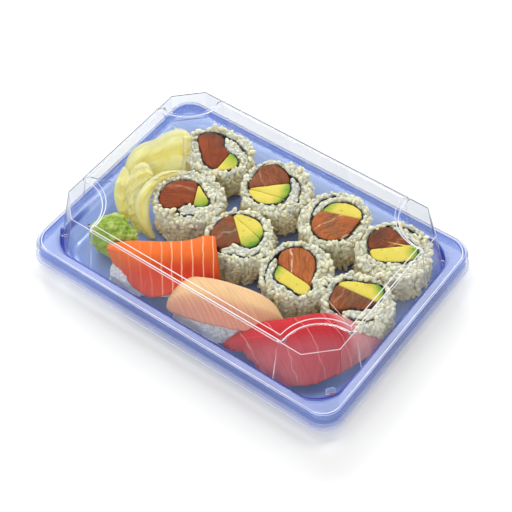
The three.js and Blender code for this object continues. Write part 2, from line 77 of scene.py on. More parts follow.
def camera_axes(azimuth, elevation, roll):
    """The camera's right, up and backward directions for its angles in degrees."""
    a, e, r = np.radians([azimuth, elevation, roll])
    back = np.array([np.sin(a) * np.cos(e), -np.cos(a) * np.cos(e), np.sin(e)])
    level = np.array([np.cos(a), np.sin(a), 0])
    up = np.cross(back, level)
    return level * np.cos(r) + up * np.sin(r), up * np.cos(r) - level * np.sin(r), back


def place_camera():
    """A long lens, far off: the camera stands back from its target along its own axis."""
    right, up, back = camera_axes(VIEW_AZIMUTH, VIEW_ELEVATION, VIEW_ROLL)
    data = bpy.data.cameras.new("camera")
    data.sensor_width = 36
    data.lens = FOCAL_LENGTH
    camera = bpy.data.objects.new("camera", data)
    turn = Matrix([right, up, back]).transposed().to_4x4()
    spot = Vector((VIEW_TARGET + back * VIEW_DISTANCE) * MM)
    camera.matrix_world = Matrix.Translation(spot) @ turn
    bpy.context.scene.collection.objects.link(camera)
    bpy.context.scene.camera = camera
    return camera


print("camera at", [round(v, 3) for v in place_camera().matrix_world.translation])

# %% [markdown]
# ## Node and mesh helpers
# Every material below is a small tree of nodes. One function adds a node, sets what it is
# told and links what it is given, so that a tree reads from top to bottom. Colours are
# written in the hex form of a paint chart, and turned to linear light for the renderer.


# %% Colours and nodes
def linear(hex_colour):
    """An sRGB hex colour as linear red, green, blue and alpha."""
    parts = [int(hex_colour[i : i + 2], 16) / 255 for i in (1, 3, 5)]
    return [p / 12.92 if p <= 0.04045 else ((p + 0.055) / 1.055) ** 2.4 for p in parts] + [1]


def add_node(tree, kind, inputs=(), out=None, **settings):
    """Adds a node, sets its properties and fills its inputs: a dict names them, and a tuple
    fills those in use from the first on. A hex colour turns to linear light, and an output
    of another node is linked. Returns the output called out, or else the first in use."""
    made = tree.nodes.new("ShaderNode" + kind)
    for key, value in settings.items():
        setattr(made, key, value)
    if isinstance(inputs, tuple):
        inputs = dict(zip([i for i, socket in enumerate(made.inputs) if socket.enabled], inputs))
    for key, value in inputs.items():
        if isinstance(value, bpy.types.NodeSocket):
            tree.links.new(value, made.inputs[key])
        else:
            made.inputs[key].default_value = linear(value) if isinstance(value, str) else value
    return made.outputs[out] if out else next((o for o in made.outputs if o.enabled), None)


def new_material(name):
    """An empty node material, a function that adds nodes to it, and the point that is
    shaded, in mm on the object."""
    material = bpy.data.materials.new(name)
    material.use_nodes = True
    tree = material.node_tree
    tree.nodes.clear()

    def add(kind, inputs=(), out=None, **settings):
        return add_node(tree, kind, inputs, out, **settings)

    point = add("TexCoord", out="Object")
    where = add("VectorMath", {"Vector": point, "Scale": 1 / MM}, operation="SCALE")
    return material, add, where


# %% Meshes
def signed_volume(points, faces):
    """Six times the volume inside the faces, positive when they face outwards."""
    a, b, c, d = (points[faces[:, k]] for k in (0, 1, 2, -1))
    first = np.einsum("ij,ij->i", a, np.cross(b, c))
    second = np.einsum("ij,ij->i", a, np.cross(c, d))
    return (first + second).sum()


def flipped(faces):
    """The faces turned over. A triangle still repeats its last corner."""
    faces = faces[:, ::-1]
    return np.where(faces[:, :1] == faces[:, 1:2], faces[:, [1, 2, 3, 3]], faces)


def outwards(points, faces):
    """The faces of a closed piece, turned over if they face inwards."""
    return flipped(faces) if signed_volume(points, faces) < 0 else faces


def make_piece(name, points, faces, material, slot, node, values=None, uv=None, closed=True):
    """A smooth mesh in place of a CAD node, from points in mm and quads, where a triangle
    repeats its last corner. values is one number for each point, and uv a pair, both read
    by the material. The faces of a closed piece are turned outwards."""
    if closed:
        faces = outwards(points, faces)
    mesh = bpy.data.meshes.new(name)
    listed = [face[:3] if face[2] == face[3] else face for face in faces.tolist()]
    mesh.from_pydata(points * MM, [], listed, shade_flat=False)
    if values is not None:
        layer = mesh.attributes.new("tone", "FLOAT", "POINT")
        layer.data.foreach_set("value", np.asarray(values, np.float32))
    if uv is not None:
        corner = np.empty(len(mesh.loops), np.int32)
        mesh.loops.foreach_get("vertex_index", corner)
        layer = mesh.uv_layers.new(name="surface")
        layer.uv.foreach_set("vector", np.asarray(uv, np.float32)[corner].ravel())
    mesh.materials.append(material)
    piece = bpy.data.objects.new(name, mesh)
    bpy.context.scene.collection.objects.link(piece)
    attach(piece, "root")
    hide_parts(node)
    return piece


def grid_faces(rows, columns):
    """Quads between neighbouring rows of a grid of points, whose columns join up."""
    r = np.arange(rows - 1)[:, None] * columns
    c = np.arange(columns)[None, :]
    d = (c + 1) % columns
    return np.stack([r + c, r + d, r + columns + d, r + columns + c], -1).reshape(-1, 4)


def shell(rows, end=True):
    """Points and faces of closed rings. A fan to its middle shuts the first ring, and the
    last one too, unless end is False."""
    rows = np.asarray(rows, float)
    count, columns, _ = rows.shape
    points, faces = [rows.reshape(-1, 3)], [grid_faces(count, columns)]
    here = np.arange(columns)
    ahead = (here + 1) % columns
    fans = [(0, ahead, here), (count - 1, here, ahead)]
    for k, (ring, first, second) in enumerate(fans if end else fans[:1]):
        pole = np.full(columns, count * columns + k)
        points.append(rows[ring].mean(0)[None])
        faces.append(np.stack([first + ring * columns, second + ring * columns, pole, pole], -1))
    return np.vstack(points), np.vstack(faces)


# %% Floor and lamps
FLOOR_HALF = 4000  # mm
FLOOR_Z = -0.05  # mm, a hair below the tray
WORLD_STRENGTH = 0.57
LAMPS = [  # name, place in mm, width in mm and watts
    ("overhead lamp", (-420, 0, 1010), 330, 2.1),
    ("back lamp", (63, 540, 950), 280, 2.5),
    ("left lamp", (-790, 540, 530), 300, 4.2),
    ("rear lamp", (-420, 900, 470), 300, 4.2),
    ("front fill", (280, -900, 560), 500, 3.6),
]


def make_floor():
    """A wide sheet of matt white paper. Its fibres give it a faint grain."""
    material, add, where = new_material("matt white paper sweep")
    fibre = add("TexNoise", {"Vector": where, "Scale": 0.8, "Detail": 3.0})
    bump = add("Bump", {"Height": fibre, "Strength": 0.02})
    surface = add("BsdfPrincipled", {
        "Base Color": "#f1f1f0", "Roughness": 0.9, "Specular IOR Level": 0.1, "Normal": bump,
    })
    add("OutputMaterial", (surface,))
    corners = np.array([[-1, -1, 0], [1, -1, 0], [1, 1, 0], [-1, 1, 0]], float) * FLOOR_HALF
    corners[:, 2] = FLOOR_Z
    mesh = bpy.data.meshes.new("floor")
    mesh.from_pydata(corners * MM, [], [[0, 1, 2, 3]])
    mesh.materials.append(material)
    floor = bpy.data.objects.new("floor", mesh)
    bpy.context.scene.collection.objects.link(floor)
    floor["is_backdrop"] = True


def add_lamp(name, spot, size, watts):
    """A square soft lamp at a spot in mm that faces the middle of the tray."""
    data = bpy.data.lights.new(name, "AREA")
    data.size = size * MM
    data.energy = watts
    lamp = bpy.data.objects.new(name, data)
    turn = Vector(spot).to_track_quat("Z", "Y").to_matrix().to_4x4()
    lamp.matrix_world = Matrix.Translation(Vector(spot) * MM) @ turn
    bpy.context.scene.collection.objects.link(lamp)


def set_light():
    """An even white world and the lamps. Standard shows each colour as it is mixed."""
    world = bpy.data.worlds.new("soft box")
    world.use_nodes = True
    background = world.node_tree.nodes["Background"]
    background.inputs["Color"].default_value = (1, 1, 1, 1)
    background.inputs["Strength"].default_value = WORLD_STRENGTH
    bpy.context.scene.world = world
    for lamp in LAMPS:
        add_lamp(*lamp)
    bpy.context.scene.view_settings.view_transform = "Standard"


make_floor()
set_light()
print("lamps:", len(LAMPS))

# %% [markdown]
# ## The rolls' plan
# An inside-out roll has its seaweed within the rice. A strip of nori winds round salmon and
# avocado and overlaps its own start, with a little rice between the two layers. The outline
# of that spiral is a loop of nine reaches from its centre, joined by a smooth curve. These
# are the same driving sizes that the CAD model is built from, so each piece sits in place.

# %% Sizes of the rolls
ROLL_BOTTOM = 1.0
NORI = 0.5
GAP = 0.15
STEP = 5.0  # degrees of winding between two points of the seaweed


def roll_plan(centre, half, top, wrap, turn, loop, begins, overlap, way, lift, avocado,
              skin, green, fat, cut, slices=None):
    """Names one roll's sizes in mm and degrees. skin and green: the way the avocado's skin
    side faces and its share of green. fat: direction across the salmon's white lines, half
    their spacing, and their shift. cut: the part of the fish."""
    return dict(locals())


ROLLS = [
    roll_plan((-52, 40), (20, 17.8), 20.8, (-52, 38.5), 0,
              (15.1, 7, 5.9, 13.3, 16.3, 9.4, 8.5, 11.1, 14.2), 116, 90, -1, (8, 345, 412, 0),
              (4, 7), 85, 0.82, (35, 30, 0.45), "loin"),
    roll_plan((-44, 4), (19.4, 18.8), 20.6, (-47, 3), 10,
              (14.7, 11.2, 11.7, 11.4, 12, 13, 13.2, 8.9, 5.8), -50, 30, 1,
              (8, 325, 369, 2.5), (27, 6.2), -35, 0.72, (-62, 15, 0.35), "loin"),
    roll_plan((-10, 37.2), (19.3, 19.4), 20.3, (-13.5, 37), 10,
              (11.2, 10.5, 12.8, 15.9, 12.2, 12.2, 13.8, 13.9, 13.1), 45, 60, -1,
              (5.2, 320, 375, 2.5), (-45, 0), 15, 0.3, (60, 9, 0.3), "aired", (-75, 6.4)),
    roll_plan((-6.3, -1), (18.3, 18.3), 20.2, (-8.5, -0.5), 20,
              (13.7, 14.2, 13.2, 13.2, 12.4, 14.4, 14.3, 6.6, 12.2), -66, 60, 1,
              (8, 318, 362, -4.5), (49, 0.4), -25, 0.35, (-20, 12, 0.2), "aired", (77, 6.4)),
    roll_plan((28, 37), (18.6, 19.6), 20.6, (29, 36), 15,
              (11.2, 15.4, 14.2, 12.4, 10.2, 12.7, 14.2, 13.8, 12.2), 159, 45, -1,
              (4.4, 300, 352, 0), (110, 4.6), 180, 0.27, (-25, 6.5, 0.15), "belly"),
    roll_plan((31.4, -2.3), (18.9, 19.4), 20.2, (31, -2), 0,
              (10, 9.9, 12.4, 14.8, 14, 10.2, 12.9, 12.2, 16.8), 195, 75, 1,
              (4.6, 318, 372, 1), (-95, 3.4), 180, 0.28, (35, 8, 0.35), "belly"),
    roll_plan((65, 37), (19.6, 19.6), 20.6, (63, 38), 15,
              (14.2, 11.5, 9.3, 14.3, 14.3, 12.1, 12.4, 9.6, 10.9), 117, 60, -1,
              (6, 335, 385, 0), (-47, -0.3), 40, 0.3, (-20, 12, 0.1), "loin"),
    roll_plan((67.6, -0.6), (19, 17.8), 20.2, (64.5, 2), 10,
              (12, 15.2, 9.4, 8.9, 11.2, 11.6, 15, 9.1, 10.6), -78, 60, 1,
              (6.5, 330, 375, 0), (96, 0.9), 50, 0.3, (10, 11, 0.6), "aired"),
]
ROLL_WALLS = (86, 56.4)  # where the tray's right and back walls stop the rolls
BETWEEN_ROLLS = 0.3  # mm left between two rolls that press on each other


# %% The spiral of seaweed
def smooth_step(value, low, high):
    """0 below low and 1 above high, joined by a curve that is level at both ends."""
    t = np.clip((value - low) / (high - low), 0, 1)
    return t * t * (3 - 2 * t)


def catmull_rom(a, b, c, d, t):
    """The smooth curve from b to c, at shares t of the way, that also heeds a and d."""
    return b + 0.5 * t * (c - a + t * (2 * a - 5 * b + 4 * c - d + t * (3 * (b - c) + d - a)))


def around(centre, angle, reach):
    """Points round a centre, at angles in radians and a reach for each."""
    return np.asarray(centre) + reach[:, None] * np.stack([np.cos(angle), np.sin(angle)], 1)


def run_along(points):
    """The distance run along a line of points, from 0 at the first."""
    return np.concatenate([[0], np.cumsum(np.linalg.norm(np.diff(points, axis=0), axis=1))])


def loop_reach(roll, angle):
    """Reach of the loop at angles in degrees: a smooth curve through its reaches."""
    loop = np.array(roll["loop"])
    place = ((angle - roll["turn"]) / 360 * len(loop)) % len(loop)
    i = np.floor(place).astype(int)
    t = place - i
    a, b, c, d = (loop[(i + k) % len(loop)] for k in (-1, 0, 1, 2))
    return catmull_rom(a, b, c, d, t)


def spiral(roll, wound, lifted=True):
    """Points of the seaweed's middle line at degrees of winding. The last part lies on the
    first, so it is lifted: its reach grows by a smooth step."""
    height, low, high, flare = roll["lift"]
    angle = roll["begins"] + roll["way"] * wound
    late = np.clip((wound - 360) / roll["overlap"] - 0.5, 0, 0.5) * 2
    rise = height * smooth_step(wound, low, high) + flare * late
    reach = loop_reach(roll, angle) + (rise if lifted else 0)
    return around(roll["wrap"], np.radians(angle), reach)


def beside_spiral(roll, wound, distance, lifted=True):
    """The spiral moved outwards by a distance at right angles to it."""
    wound = np.asarray(wound, float)
    way = spiral(roll, wound + 1, lifted) - spiral(roll, wound - 1, lifted)
    way /= np.linalg.norm(way, axis=1)[:, None] * roll["way"]
    side = np.stack([way[:, 1], -way[:, 0]], 1)
    return spiral(roll, wound, lifted) + side * np.asarray(distance).reshape(-1, 1)


def wound_steps(low, high, step=STEP):
    """Degrees of winding from low to high, in even steps."""
    return np.linspace(low, high, int(round((high - low) / step)) + 1)


def rice_reach(roll, angle):
    """Reach of the outer rice: an ellipse, pressed flat by the next rolls and the walls."""
    def ellipse(of, a):
        rx, ry = of["half"]
        return 1 / np.hypot(np.cos(a) / rx, np.sin(a) / ry)

    reach = ellipse(roll, angle)
    x, y = roll["centre"]
    flats = [(0, ROLL_WALLS[0] - x), (np.pi / 2, ROLL_WALLS[1] - y)]
    for other in ROLLS:
        if other is not roll:
            ox, oy = other["centre"]
            facing = math.atan2(oy - y, ox - x)
            apart = math.hypot(oy - y, ox - x)
            pressed = ellipse(roll, facing) + ellipse(other, facing) + BETWEEN_ROLLS - apart
            flats.append((facing, ellipse(roll, facing) - max(0, pressed) / 2))
    for facing, distance in flats:
        along = np.cos(angle - facing)
        reach = np.where(along > 0.2, np.minimum(reach, distance / np.maximum(along, 0.2)), reach)
    return reach


for number, roll in enumerate(ROLLS, 1):
    roll["name"] = f"roll_{number}"
    run = run_along(spiral(roll, wound_steps(0, 360)))[-1]
    print(roll["name"], "seaweed round the filling", round(run), "mm")

# %% [markdown]
# ## Nori
# Nori is pressed seaweed, dried in thin sheets, dark green to black. It goes soft against
# moist rice and follows it in small waves, and the knife leaves its edge a little ragged.
# So the strip is a thin rectangle carried along the spiral, with its thickness, its place
# and its upper edge varied by slow waves.


# %% Nori finish
def nori_finish():
    """Nearly black green with a coarse pressed grain, and a soft shine from the moist rice."""
    material, add, where = new_material("pressed nori, moist")
    sheet = add("TexNoise", {"Vector": where, "Scale": 0.9, "Detail": 4.0})
    mixed = add("Mix", (sheet, "#060807", "#1a1f1a"), data_type="RGBA")
    bump = add("Bump", {"Height": sheet, "Strength": 0.4, "Distance": 0.0003})
    surface = add("BsdfPrincipled", {"Base Color": mixed, "Roughness": 0.45, "Normal": bump})
    add("OutputMaterial", (surface,))
    return material


def waves(place, seed, count=5, longest=60):
    """A slow random curve from -1 to 1: a few sine waves of shrinking length."""
    random = np.random.default_rng(seed)
    total = np.zeros_like(np.asarray(place, float))
    for k in range(count):
        length = longest / (k + 1) ** 1.3
        total += np.sin(2 * np.pi * (place / length + random.random())) / (k + 1) ** 0.5
    return total / 2


def ripple(points, seed, size):
    """Slow noise at points in space: plane waves that run every way, mean 0, spread about 1."""
    random = np.random.default_rng(seed)
    count = 9
    total = np.zeros(len(points))
    for _ in range(count):
        way = random.standard_normal(points.shape[1])
        way /= np.linalg.norm(way) * size * random.uniform(0.6, 1.6)
        total += np.sin(2 * np.pi * (points @ way + random.random()))
    return total * math.sqrt(2 / count)


NORI_FINISH = nori_finish()


def at_height(xy, z):
    """Points in plan, lifted to one height or to a height for each."""
    return np.column_stack([xy, np.broadcast_to(z, len(xy))])


def make_nori(roll, number):
    """The strip's section, carried along the spiral: a rectangle whose upper corners are
    rounded. Slow waves swell it, shift it sideways and make its cut edge waver."""
    wound = wound_steps(0, 360 + roll["overlap"], 3)
    swell = np.maximum(0, waves(wound, 10 + number, 6, 70)) ** 2
    half = 0.15 + 0.5 * swell
    drift = 0.25 * waves(wound, 20 + number, longest=40)
    inner = beside_spiral(roll, wound, drift - half)
    outer = beside_spiral(roll, wound, drift + half)
    top = roll["top"] + 0.2 + 0.4 * waves(wound, 30 + number, 6, 50)
    top += 0.25 * waves(wound, 50 + number, 5, 13)
    soft = 0.15
    section = [(inner, ROLL_BOTTOM), (outer, ROLL_BOTTOM), (outer, top - soft),
               ((outer * 2 + inner) / 3, top), ((inner * 2 + outer) / 3, top), (inner, top - soft)]
    points, faces = shell(np.stack([at_height(xy, z) for xy, z in section], 1))
    name = roll["name"] + "_nori"
    return make_piece(name + "_sheet", points, faces, NORI_FINISH, "nori", name)


for number, roll in enumerate(ROLLS):
    make_nori(roll, number)
print("nori strips:", len(ROLLS))

# %% [markdown]
# ## Salmon and avocado inside the rolls
# A stick of salmon and one or two of avocado run through each roll, and the knife shows
# them as flat faces. The faces sag a little at their edges. Fat shows in raw salmon as pale
# lines, and avocado turns from yellow by the stone to green under its skin. Both patterns
# run in a direction of their own in each roll, so each piece gets a map that says how far
# across the pattern a point lies.


# %% Finishes of the fillings
def salmon_finish(name, flesh, deep, dull, fat, fat_share):
    """Raw salmon, cut: fibres run along the map's second number in mm, the fat shows as
    pale lines where the tone is near an even number, and air has dulled some patches."""
    material, add, where = new_material(name)
    at = add("UVMap", uv_map="surface")
    tone = add("Attribute", out="Fac", attribute_name="tone")
    slow = add("TexNoise", {"Vector": where, "Scale": 0.11, "Detail": 2.0})
    bend = add("MapRange", {"Value": slow, "To Min": -0.3, "To Max": 0.3})
    u = add("Math", (tone, bend), operation="ADD")
    apart = add("Math", (u, 1.0), operation="PINGPONG")
    line = add("MapRange", (apart, 0.0, 0.1, 1.0, 0.0), interpolation_type="SMOOTHERSTEP")
    patch = add("TexNoise", {"Vector": where, "Scale": 0.35, "Detail": 3.0})
    shown = add("MapRange", (patch, 0.35, 0.6, 0.1, fat_share))
    amount = add("Math", (line, shown), operation="MULTIPLY")
    wide = add("TexNoise", {"Vector": where, "Scale": 0.07, "Detail": 1.0})
    meat = add("Mix", (slow, deep, flesh), data_type="RGBA")
    air = add("MapRange", (wide, 0.46, 0.66, 0.0, 0.85))
    aired = add("Mix", (air, meat, dull), data_type="RGBA")
    warp = add("TexNoise", {"Vector": where, "Scale": 0.12, "Detail": 1.0}, out="Color")
    moved = add("VectorMath", {"Vector": warp, "Scale": 5.0}, operation="SCALE")
    bent = add("VectorMath", (at, moved), operation="ADD")
    stretched = add("Mapping", {"Vector": bent, "Scale": (1.3, 0.08, 1.0)})
    fibre = add("TexNoise", {"Vector": stretched, "Scale": 1.0, "Detail": 3.0})
    shade = add("MapRange", (fibre, 0.36, 0.64, 0.72, 1.32))
    dark = add("Mix", (1.0, aired, shade), data_type="RGBA", blend_type="MULTIPLY")
    colour = add("Mix", (amount, dark, fat), data_type="RGBA")
    bump = add("Bump", {"Height": fibre, "Strength": 0.3, "Distance": 0.0003})
    surface = add("BsdfPrincipled", {
        "Base Color": colour, "Roughness": 0.5, "Specular IOR Level": 0.04, "Normal": bump,
        "Subsurface Weight": 0.15, "Subsurface Scale": 1.0,
        "Subsurface Radius": (0.003, 0.0012, 0.0006),
    })
    add("OutputMaterial", (surface,))
    return material


def avocado_finish():
    """Ripe avocado, sliced: the map's first number runs from 0 at the stone to 1 at the
    skin, and its second is the share that is green."""
    material, add, where = new_material("ripe avocado, sliced")
    across = add("UVMap", uv_map="surface")
    parts = add("SeparateXYZ", (across,)).node.outputs
    cloud = add("TexNoise", {"Vector": where, "Scale": 0.28, "Detail": 2.0})
    bend = add("MapRange", {"Value": cloud, "To Min": -0.13, "To Max": 0.13})
    u = add("Math", (parts["X"], bend), operation="ADD")
    start = add("Math", (1.0, parts["Y"]), operation="SUBTRACT")
    greener = add("MapRange", (u, start, 0.97, 0.0, 1.0))
    tinge = add("MapRange", (u, 0.86, 1.05, 0.0, 0.8))
    yellow = add("Mix", (cloud, "#e4cc46", "#ebdb6f"), data_type="RGBA")
    green = add("Mix", (greener, yellow, "#86a838"), data_type="RGBA")
    rind = add("Mix", (tinge, green, "#62a033"), data_type="RGBA")
    spots = add("TexVoronoi", {"Vector": where, "Scale": 0.23, "Randomness": 1.0})
    speck = add("MapRange", (spots, 0.06, 0.19, 0.6, 0.0))
    colour = add("Mix", (speck, rind, "#a08a35"), data_type="RGBA")
    fine = add("TexNoise", {"Vector": where, "Scale": 1.2, "Detail": 3.0})
    bump = add("Bump", {"Height": fine, "Strength": 0.25, "Distance": 0.0003})
    surface = add("BsdfPrincipled", {
        "Base Color": colour, "Roughness": 0.5, "Specular IOR Level": 0.04, "Normal": bump,
        "Subsurface Weight": 0.2, "Subsurface Scale": 1.0,
        "Subsurface Radius": (0.002, 0.0015, 0.0006),
    })
    add("OutputMaterial", (surface,))
    return material


ROLL_SALMON = {
    "loin": salmon_finish("raw salmon loin, cut across",
                          "#9c4e2a", "#75351e", "#573d2e", "#c99577", 0.6),
    "belly": salmon_finish("raw salmon belly, cut across",
                           "#b96c3b", "#9c522b", "#80563a", "#f0c5a4", 1.0),
    "aired": salmon_finish("raw salmon, dulled by air",
                           "#9a5a36", "#763f28", "#72563e", "#c79a7e", 0.6),
}
AVOCADO = avocado_finish()


# %% Shapes of the fillings
def unit(degrees):
    """The direction in plan at an angle from +X."""
    return np.array([math.cos(math.radians(degrees)), math.sin(math.radians(degrees))])


def cut_outline(points, centre, facing, distance):
    """The part of an outline on the near side of a line that faces a direction."""
    beyond = (points - centre) @ unit(facing) - distance
    kept = []
    for i, here in enumerate(beyond):
        j = (i + 1) % len(points)
        if here <= 0:
            kept.append(points[i])
        if here * beyond[j] < 0:
            kept.append(points[i] + (points[j] - points[i]) * here / (here - beyond[j]))
    return np.array(kept)


def points_at(line, run, at):
    """Points of a line in plan at distances along it. run: the distance run at its points."""
    return np.column_stack([np.interp(at, run, line[:, k]) for k in (0, 1)])


def even_outline(points, spacing):
    """The outline with points at even distances along it."""
    looped = np.vstack([points, points[:1]])
    run = run_along(looped)
    count = max(12, int(run[-1] / spacing))
    return points_at(looped, run, np.linspace(0, run[-1], count, endpoint=False))


def rounded_outline(points, radius, passes=4):
    """Softens the outline's corners by averaging each point with its neighbours."""
    points = even_outline(points, radius / 2)
    for _ in range(passes):
        points = (np.roll(points, 1, 0) + points * 2 + np.roll(points, -1, 0)) / 4
    return points


CROWN = 0.35  # mm by which a cut face is higher in its middle
EDGE_ROUND = 0.7  # mm, radius of the edge round a cut face


def cut_stick(outline, top, seed):
    """A stick cut across: rings shrink from the outline to its middle over a slightly
    crowned face, and the side falls straight from a small round edge."""
    middle = outline.mean(0)
    reach = outline - middle
    edge = EDGE_ROUND / np.linalg.norm(reach, axis=1).mean()
    rows = []
    for share in (0.06, 0.3, 0.55, 0.78, 1 - edge):
        xy = middle + reach * share
        lump = waves(xy[:, 0] * 1.3 + xy[:, 1], seed, 3, 14) * 0.16
        rows.append(at_height(xy, top + CROWN * (1 - share**2) + lump))
    rim = rows[-1][:, 2]
    for turn in (math.radians(35), math.radians(70)):
        out = 1 - edge + edge * math.sin(turn)
        rows.append(at_height(middle + reach * out, rim - EDGE_ROUND * (1 - math.cos(turn))))
    rows.append(at_height(outline, rim - 1.1))
    rows.append(at_height(outline, ROLL_BOTTOM))
    return shell(rows)


def pattern_map(points, centre, facing):
    """A map in the plane, in mm: distance along a direction, and across it."""
    xy = points[:, :2] - centre
    return np.column_stack([xy @ unit(facing), xy @ unit(facing + 90)])


def skin_map(points, skin, green):
    """0 to 1 from the stone's side to the skin's, and the share that is green."""
    along = points[:, :2] @ unit(skin)
    return np.column_stack([(along - along.min()) / np.ptp(along), np.full(len(points), green)])


FACE_LIFTS = (0.5, 0.1, -0.2)  # mm by which the parts' cut faces stand over the rice


def make_filling(roll, number):
    """Cuts the space within the seaweed by straight lines into a stick of salmon and one or
    two slices of avocado. Each is a stick whose cut face has a height of its own."""
    held = beside_spiral(roll, wound_steps(0, 355), -NORI / 2 - 0.05, False)
    centre = np.array(roll["wrap"])
    facing, distance = roll["avocado"]
    salmon = cut_outline(held, centre, facing, distance - GAP / 2)
    green = cut_outline(held, centre, facing + 180, -distance - GAP / 2)
    parts = {"salmon": salmon, "avocado": green}
    if roll["slices"]:
        line, off = roll["slices"]
        parts = {
            "salmon": salmon,
            "avocado_a": cut_outline(green, centre, line, off - GAP / 2),
            "avocado_b": cut_outline(green, centre, line + 180, -off - GAP / 2),
        }
    for k, (part, outline) in enumerate(parts.items()):
        name = f"{roll['name']}_{part}"
        lift = FACE_LIFTS[k] + 0.25 * math.sin(number * 2.1 + k)
        outline = rounded_outline(outline, 1.6)
        points, faces = cut_stick(outline, roll["top"] + lift, number * 7 + k)
        if part == "salmon":
            across, spacing, shift = roll["fat"]
            uv = pattern_map(points, centre, across)
            make_piece(name + "_stick", points, faces, ROLL_SALMON[roll["cut"]], "roll_salmon",
                       name, values=uv[:, 0] / spacing + shift, uv=uv)
        else:
            uv = skin_map(points, roll["skin"], roll["green"])
            make_piece(name + "_slice", points, faces, AVOCADO, "avocado", name, uv=uv)
    return len(parts)


print("filling pieces:", sum(make_filling(roll, k) for k, roll in enumerate(ROLLS)))

# %% [markdown]
# ## Rice
# Cooked sushi rice is short-grained: each grain is a plump body about five millimetres long
# and half as wide, a little bent, moist and slightly see-through. A grain is modelled once
# as a few rings, then thousands of copies are laid over a core in one mesh, sunk to half
# their thickness. Arrays place them all at once. On the cut face they lie flat, and round
# the side they lie every way in the surface.


# %% Rice finish
def rice_finish(name, pale, deep, stained):
    """Moist ivory grains, painted darker where the tone says that they lie deep, as shade
    between them. Towards its foot the rice takes a colour that is partly a stain, brown from
    the seaweed or pink from the fish, and partly painted shade."""
    material, add, where = new_material(name)
    tone = add("Attribute", out="Fac", attribute_name="tone")
    cloud = add("TexNoise", {"Vector": where, "Scale": 0.16, "Detail": 3.0})
    warm = add("Mix", (tone, pale, deep), data_type="RGBA")
    height = add("SeparateXYZ", (where,), out="Z")
    # Partly stain, partly painted shade: the foot colour comes in towards the bottom.
    low = add("MapRange", (height, 3.0, 18.0, 1.0, 0.0))
    patch = add("MapRange", (cloud, 0.35, 0.7, 0.3, 1.0))
    stain = add("Math", (low, patch), operation="MULTIPLY")
    colour = add("Mix", (stain, warm, stained), data_type="RGBA")
    fine = add("TexNoise", {"Vector": where, "Scale": 1.3, "Detail": 2.0})
    bump = add("Bump", {"Height": fine, "Strength": 0.35, "Distance": 0.0004})
    surface = add("BsdfPrincipled", {
        "Base Color": colour, "Roughness": 0.42, "Specular IOR Level": 0.15, "Normal": bump,
        "Subsurface Weight": 0.6, "Subsurface Scale": 1.0,
        "Subsurface Radius": (0.0028, 0.0022, 0.0012),
    })
    add("OutputMaterial", (surface,))
    return material


RICE = rice_finish("cooked short-grain rice, moist", "#f7efcc", "#c6b47e", "#f3cf94")
BED_RICE = rice_finish("pressed vinegared rice, moist", "#fffaf2", "#f0e6da", "#fff0ea")
GRAIN = (4.3, 2.5, 2.2)  # length, width and thickness of a cooked grain
GRAIN_SIDES = 7


def grain_shape():
    """Rings of a plump spindle between two poles, as points from -1 to 1, and its faces."""
    along = np.cos(np.linspace(0, np.pi, 7))[1:-1]
    girth = (1 - np.abs(along) ** 2.6) ** 0.5
    angle = np.arange(GRAIN_SIDES) / GRAIN_SIDES * 2 * np.pi
    rows = np.stack([
        np.column_stack([np.full(GRAIN_SIDES, a), r * np.cos(angle), r * np.sin(angle)])
        for a, r in zip(along, girth)
    ])
    points, faces = shell(rows)
    points[-2, 0], points[-1, 0] = 1, -1
    return points, faces


def unit_rows(ways):
    """Directions, one in each row, made one long."""
    return ways / np.linalg.norm(ways, axis=1)[:, None]


def lay_grains(spots, ways, normals, random, squash=1.0, depth=0.0):
    """Copies of the grain at spots, each along its way and flat to its normal, with its own
    size, bend and tone. All are worked out as one array of grains by points. depth: 0 for
    a grain at the surface to 1 for one sunk between others, whose tone is painted darker."""
    shape, faces = grain_shape()
    count = len(spots)
    ways = unit_rows(ways)
    sides = unit_rows(np.cross(normals, ways))
    ups = np.cross(ways, sides)
    size = np.array(GRAIN) / 2 * (1 + 0.16 * random.standard_normal((count, 3)).clip(-2, 2))
    size[:, 2] *= squash
    bend = random.uniform(-0.35, 0.35, count)
    x, y, z = (shape[None, :, k] * size[:, None, k] for k in range(3))
    y = y + bend[:, None] * shape[None, :, 0] ** 2
    points = (spots[:, None] + x[..., None] * ways[:, None] + y[..., None] * sides[:, None]
              + z[..., None] * ups[:, None])
    every = faces[None] + (np.arange(count) * len(shape))[:, None, None]
    points[..., 2] = np.maximum(points[..., 2], ROLL_BOTTOM)
    # A random tone, plus painted shade that darkens the sunk grains.
    tone = np.repeat(0.3 * random.random(count) ** 1.5 + 0.28 * depth, len(shape))
    return points.reshape(-1, 3), every.reshape(-1, 4), tone


def inside_outline(points, outline):
    """True for points inside a closed outline, by counting the edges that a ray crosses."""
    a, b = outline, np.roll(outline, -1, 0)
    x, y = points[:, 0, None], points[:, 1, None]
    spans = (a[:, 1] > y) != (b[:, 1] > y)
    rise = np.where(np.abs(b[:, 1] - a[:, 1]) < 1e-9, 1e-9, b[:, 1] - a[:, 1])
    crossing = a[:, 0] + (y - a[:, 1]) * (b[:, 0] - a[:, 0]) / rise
    return (spans & (x < crossing)).sum(1) % 2 == 1


def thin_out(spots, apart):
    """Drops each spot that lies nearer than a distance to one kept before it."""
    kept = []
    cells = {}
    for i, spot in enumerate(spots):
        cell = tuple(np.floor(spot / apart).astype(int))
        near = [cells.get((cell[0] + a, cell[1] + b, cell[2] + c), [])
                for a in (-1, 0, 1) for b in (-1, 0, 1) for c in (-1, 0, 1)]
        if all(np.linalg.norm(spot - spots[k]) >= apart for group in near for k in group):
            kept.append(i)
            cells.setdefault(cell, []).append(i)
    return np.array(kept, int)


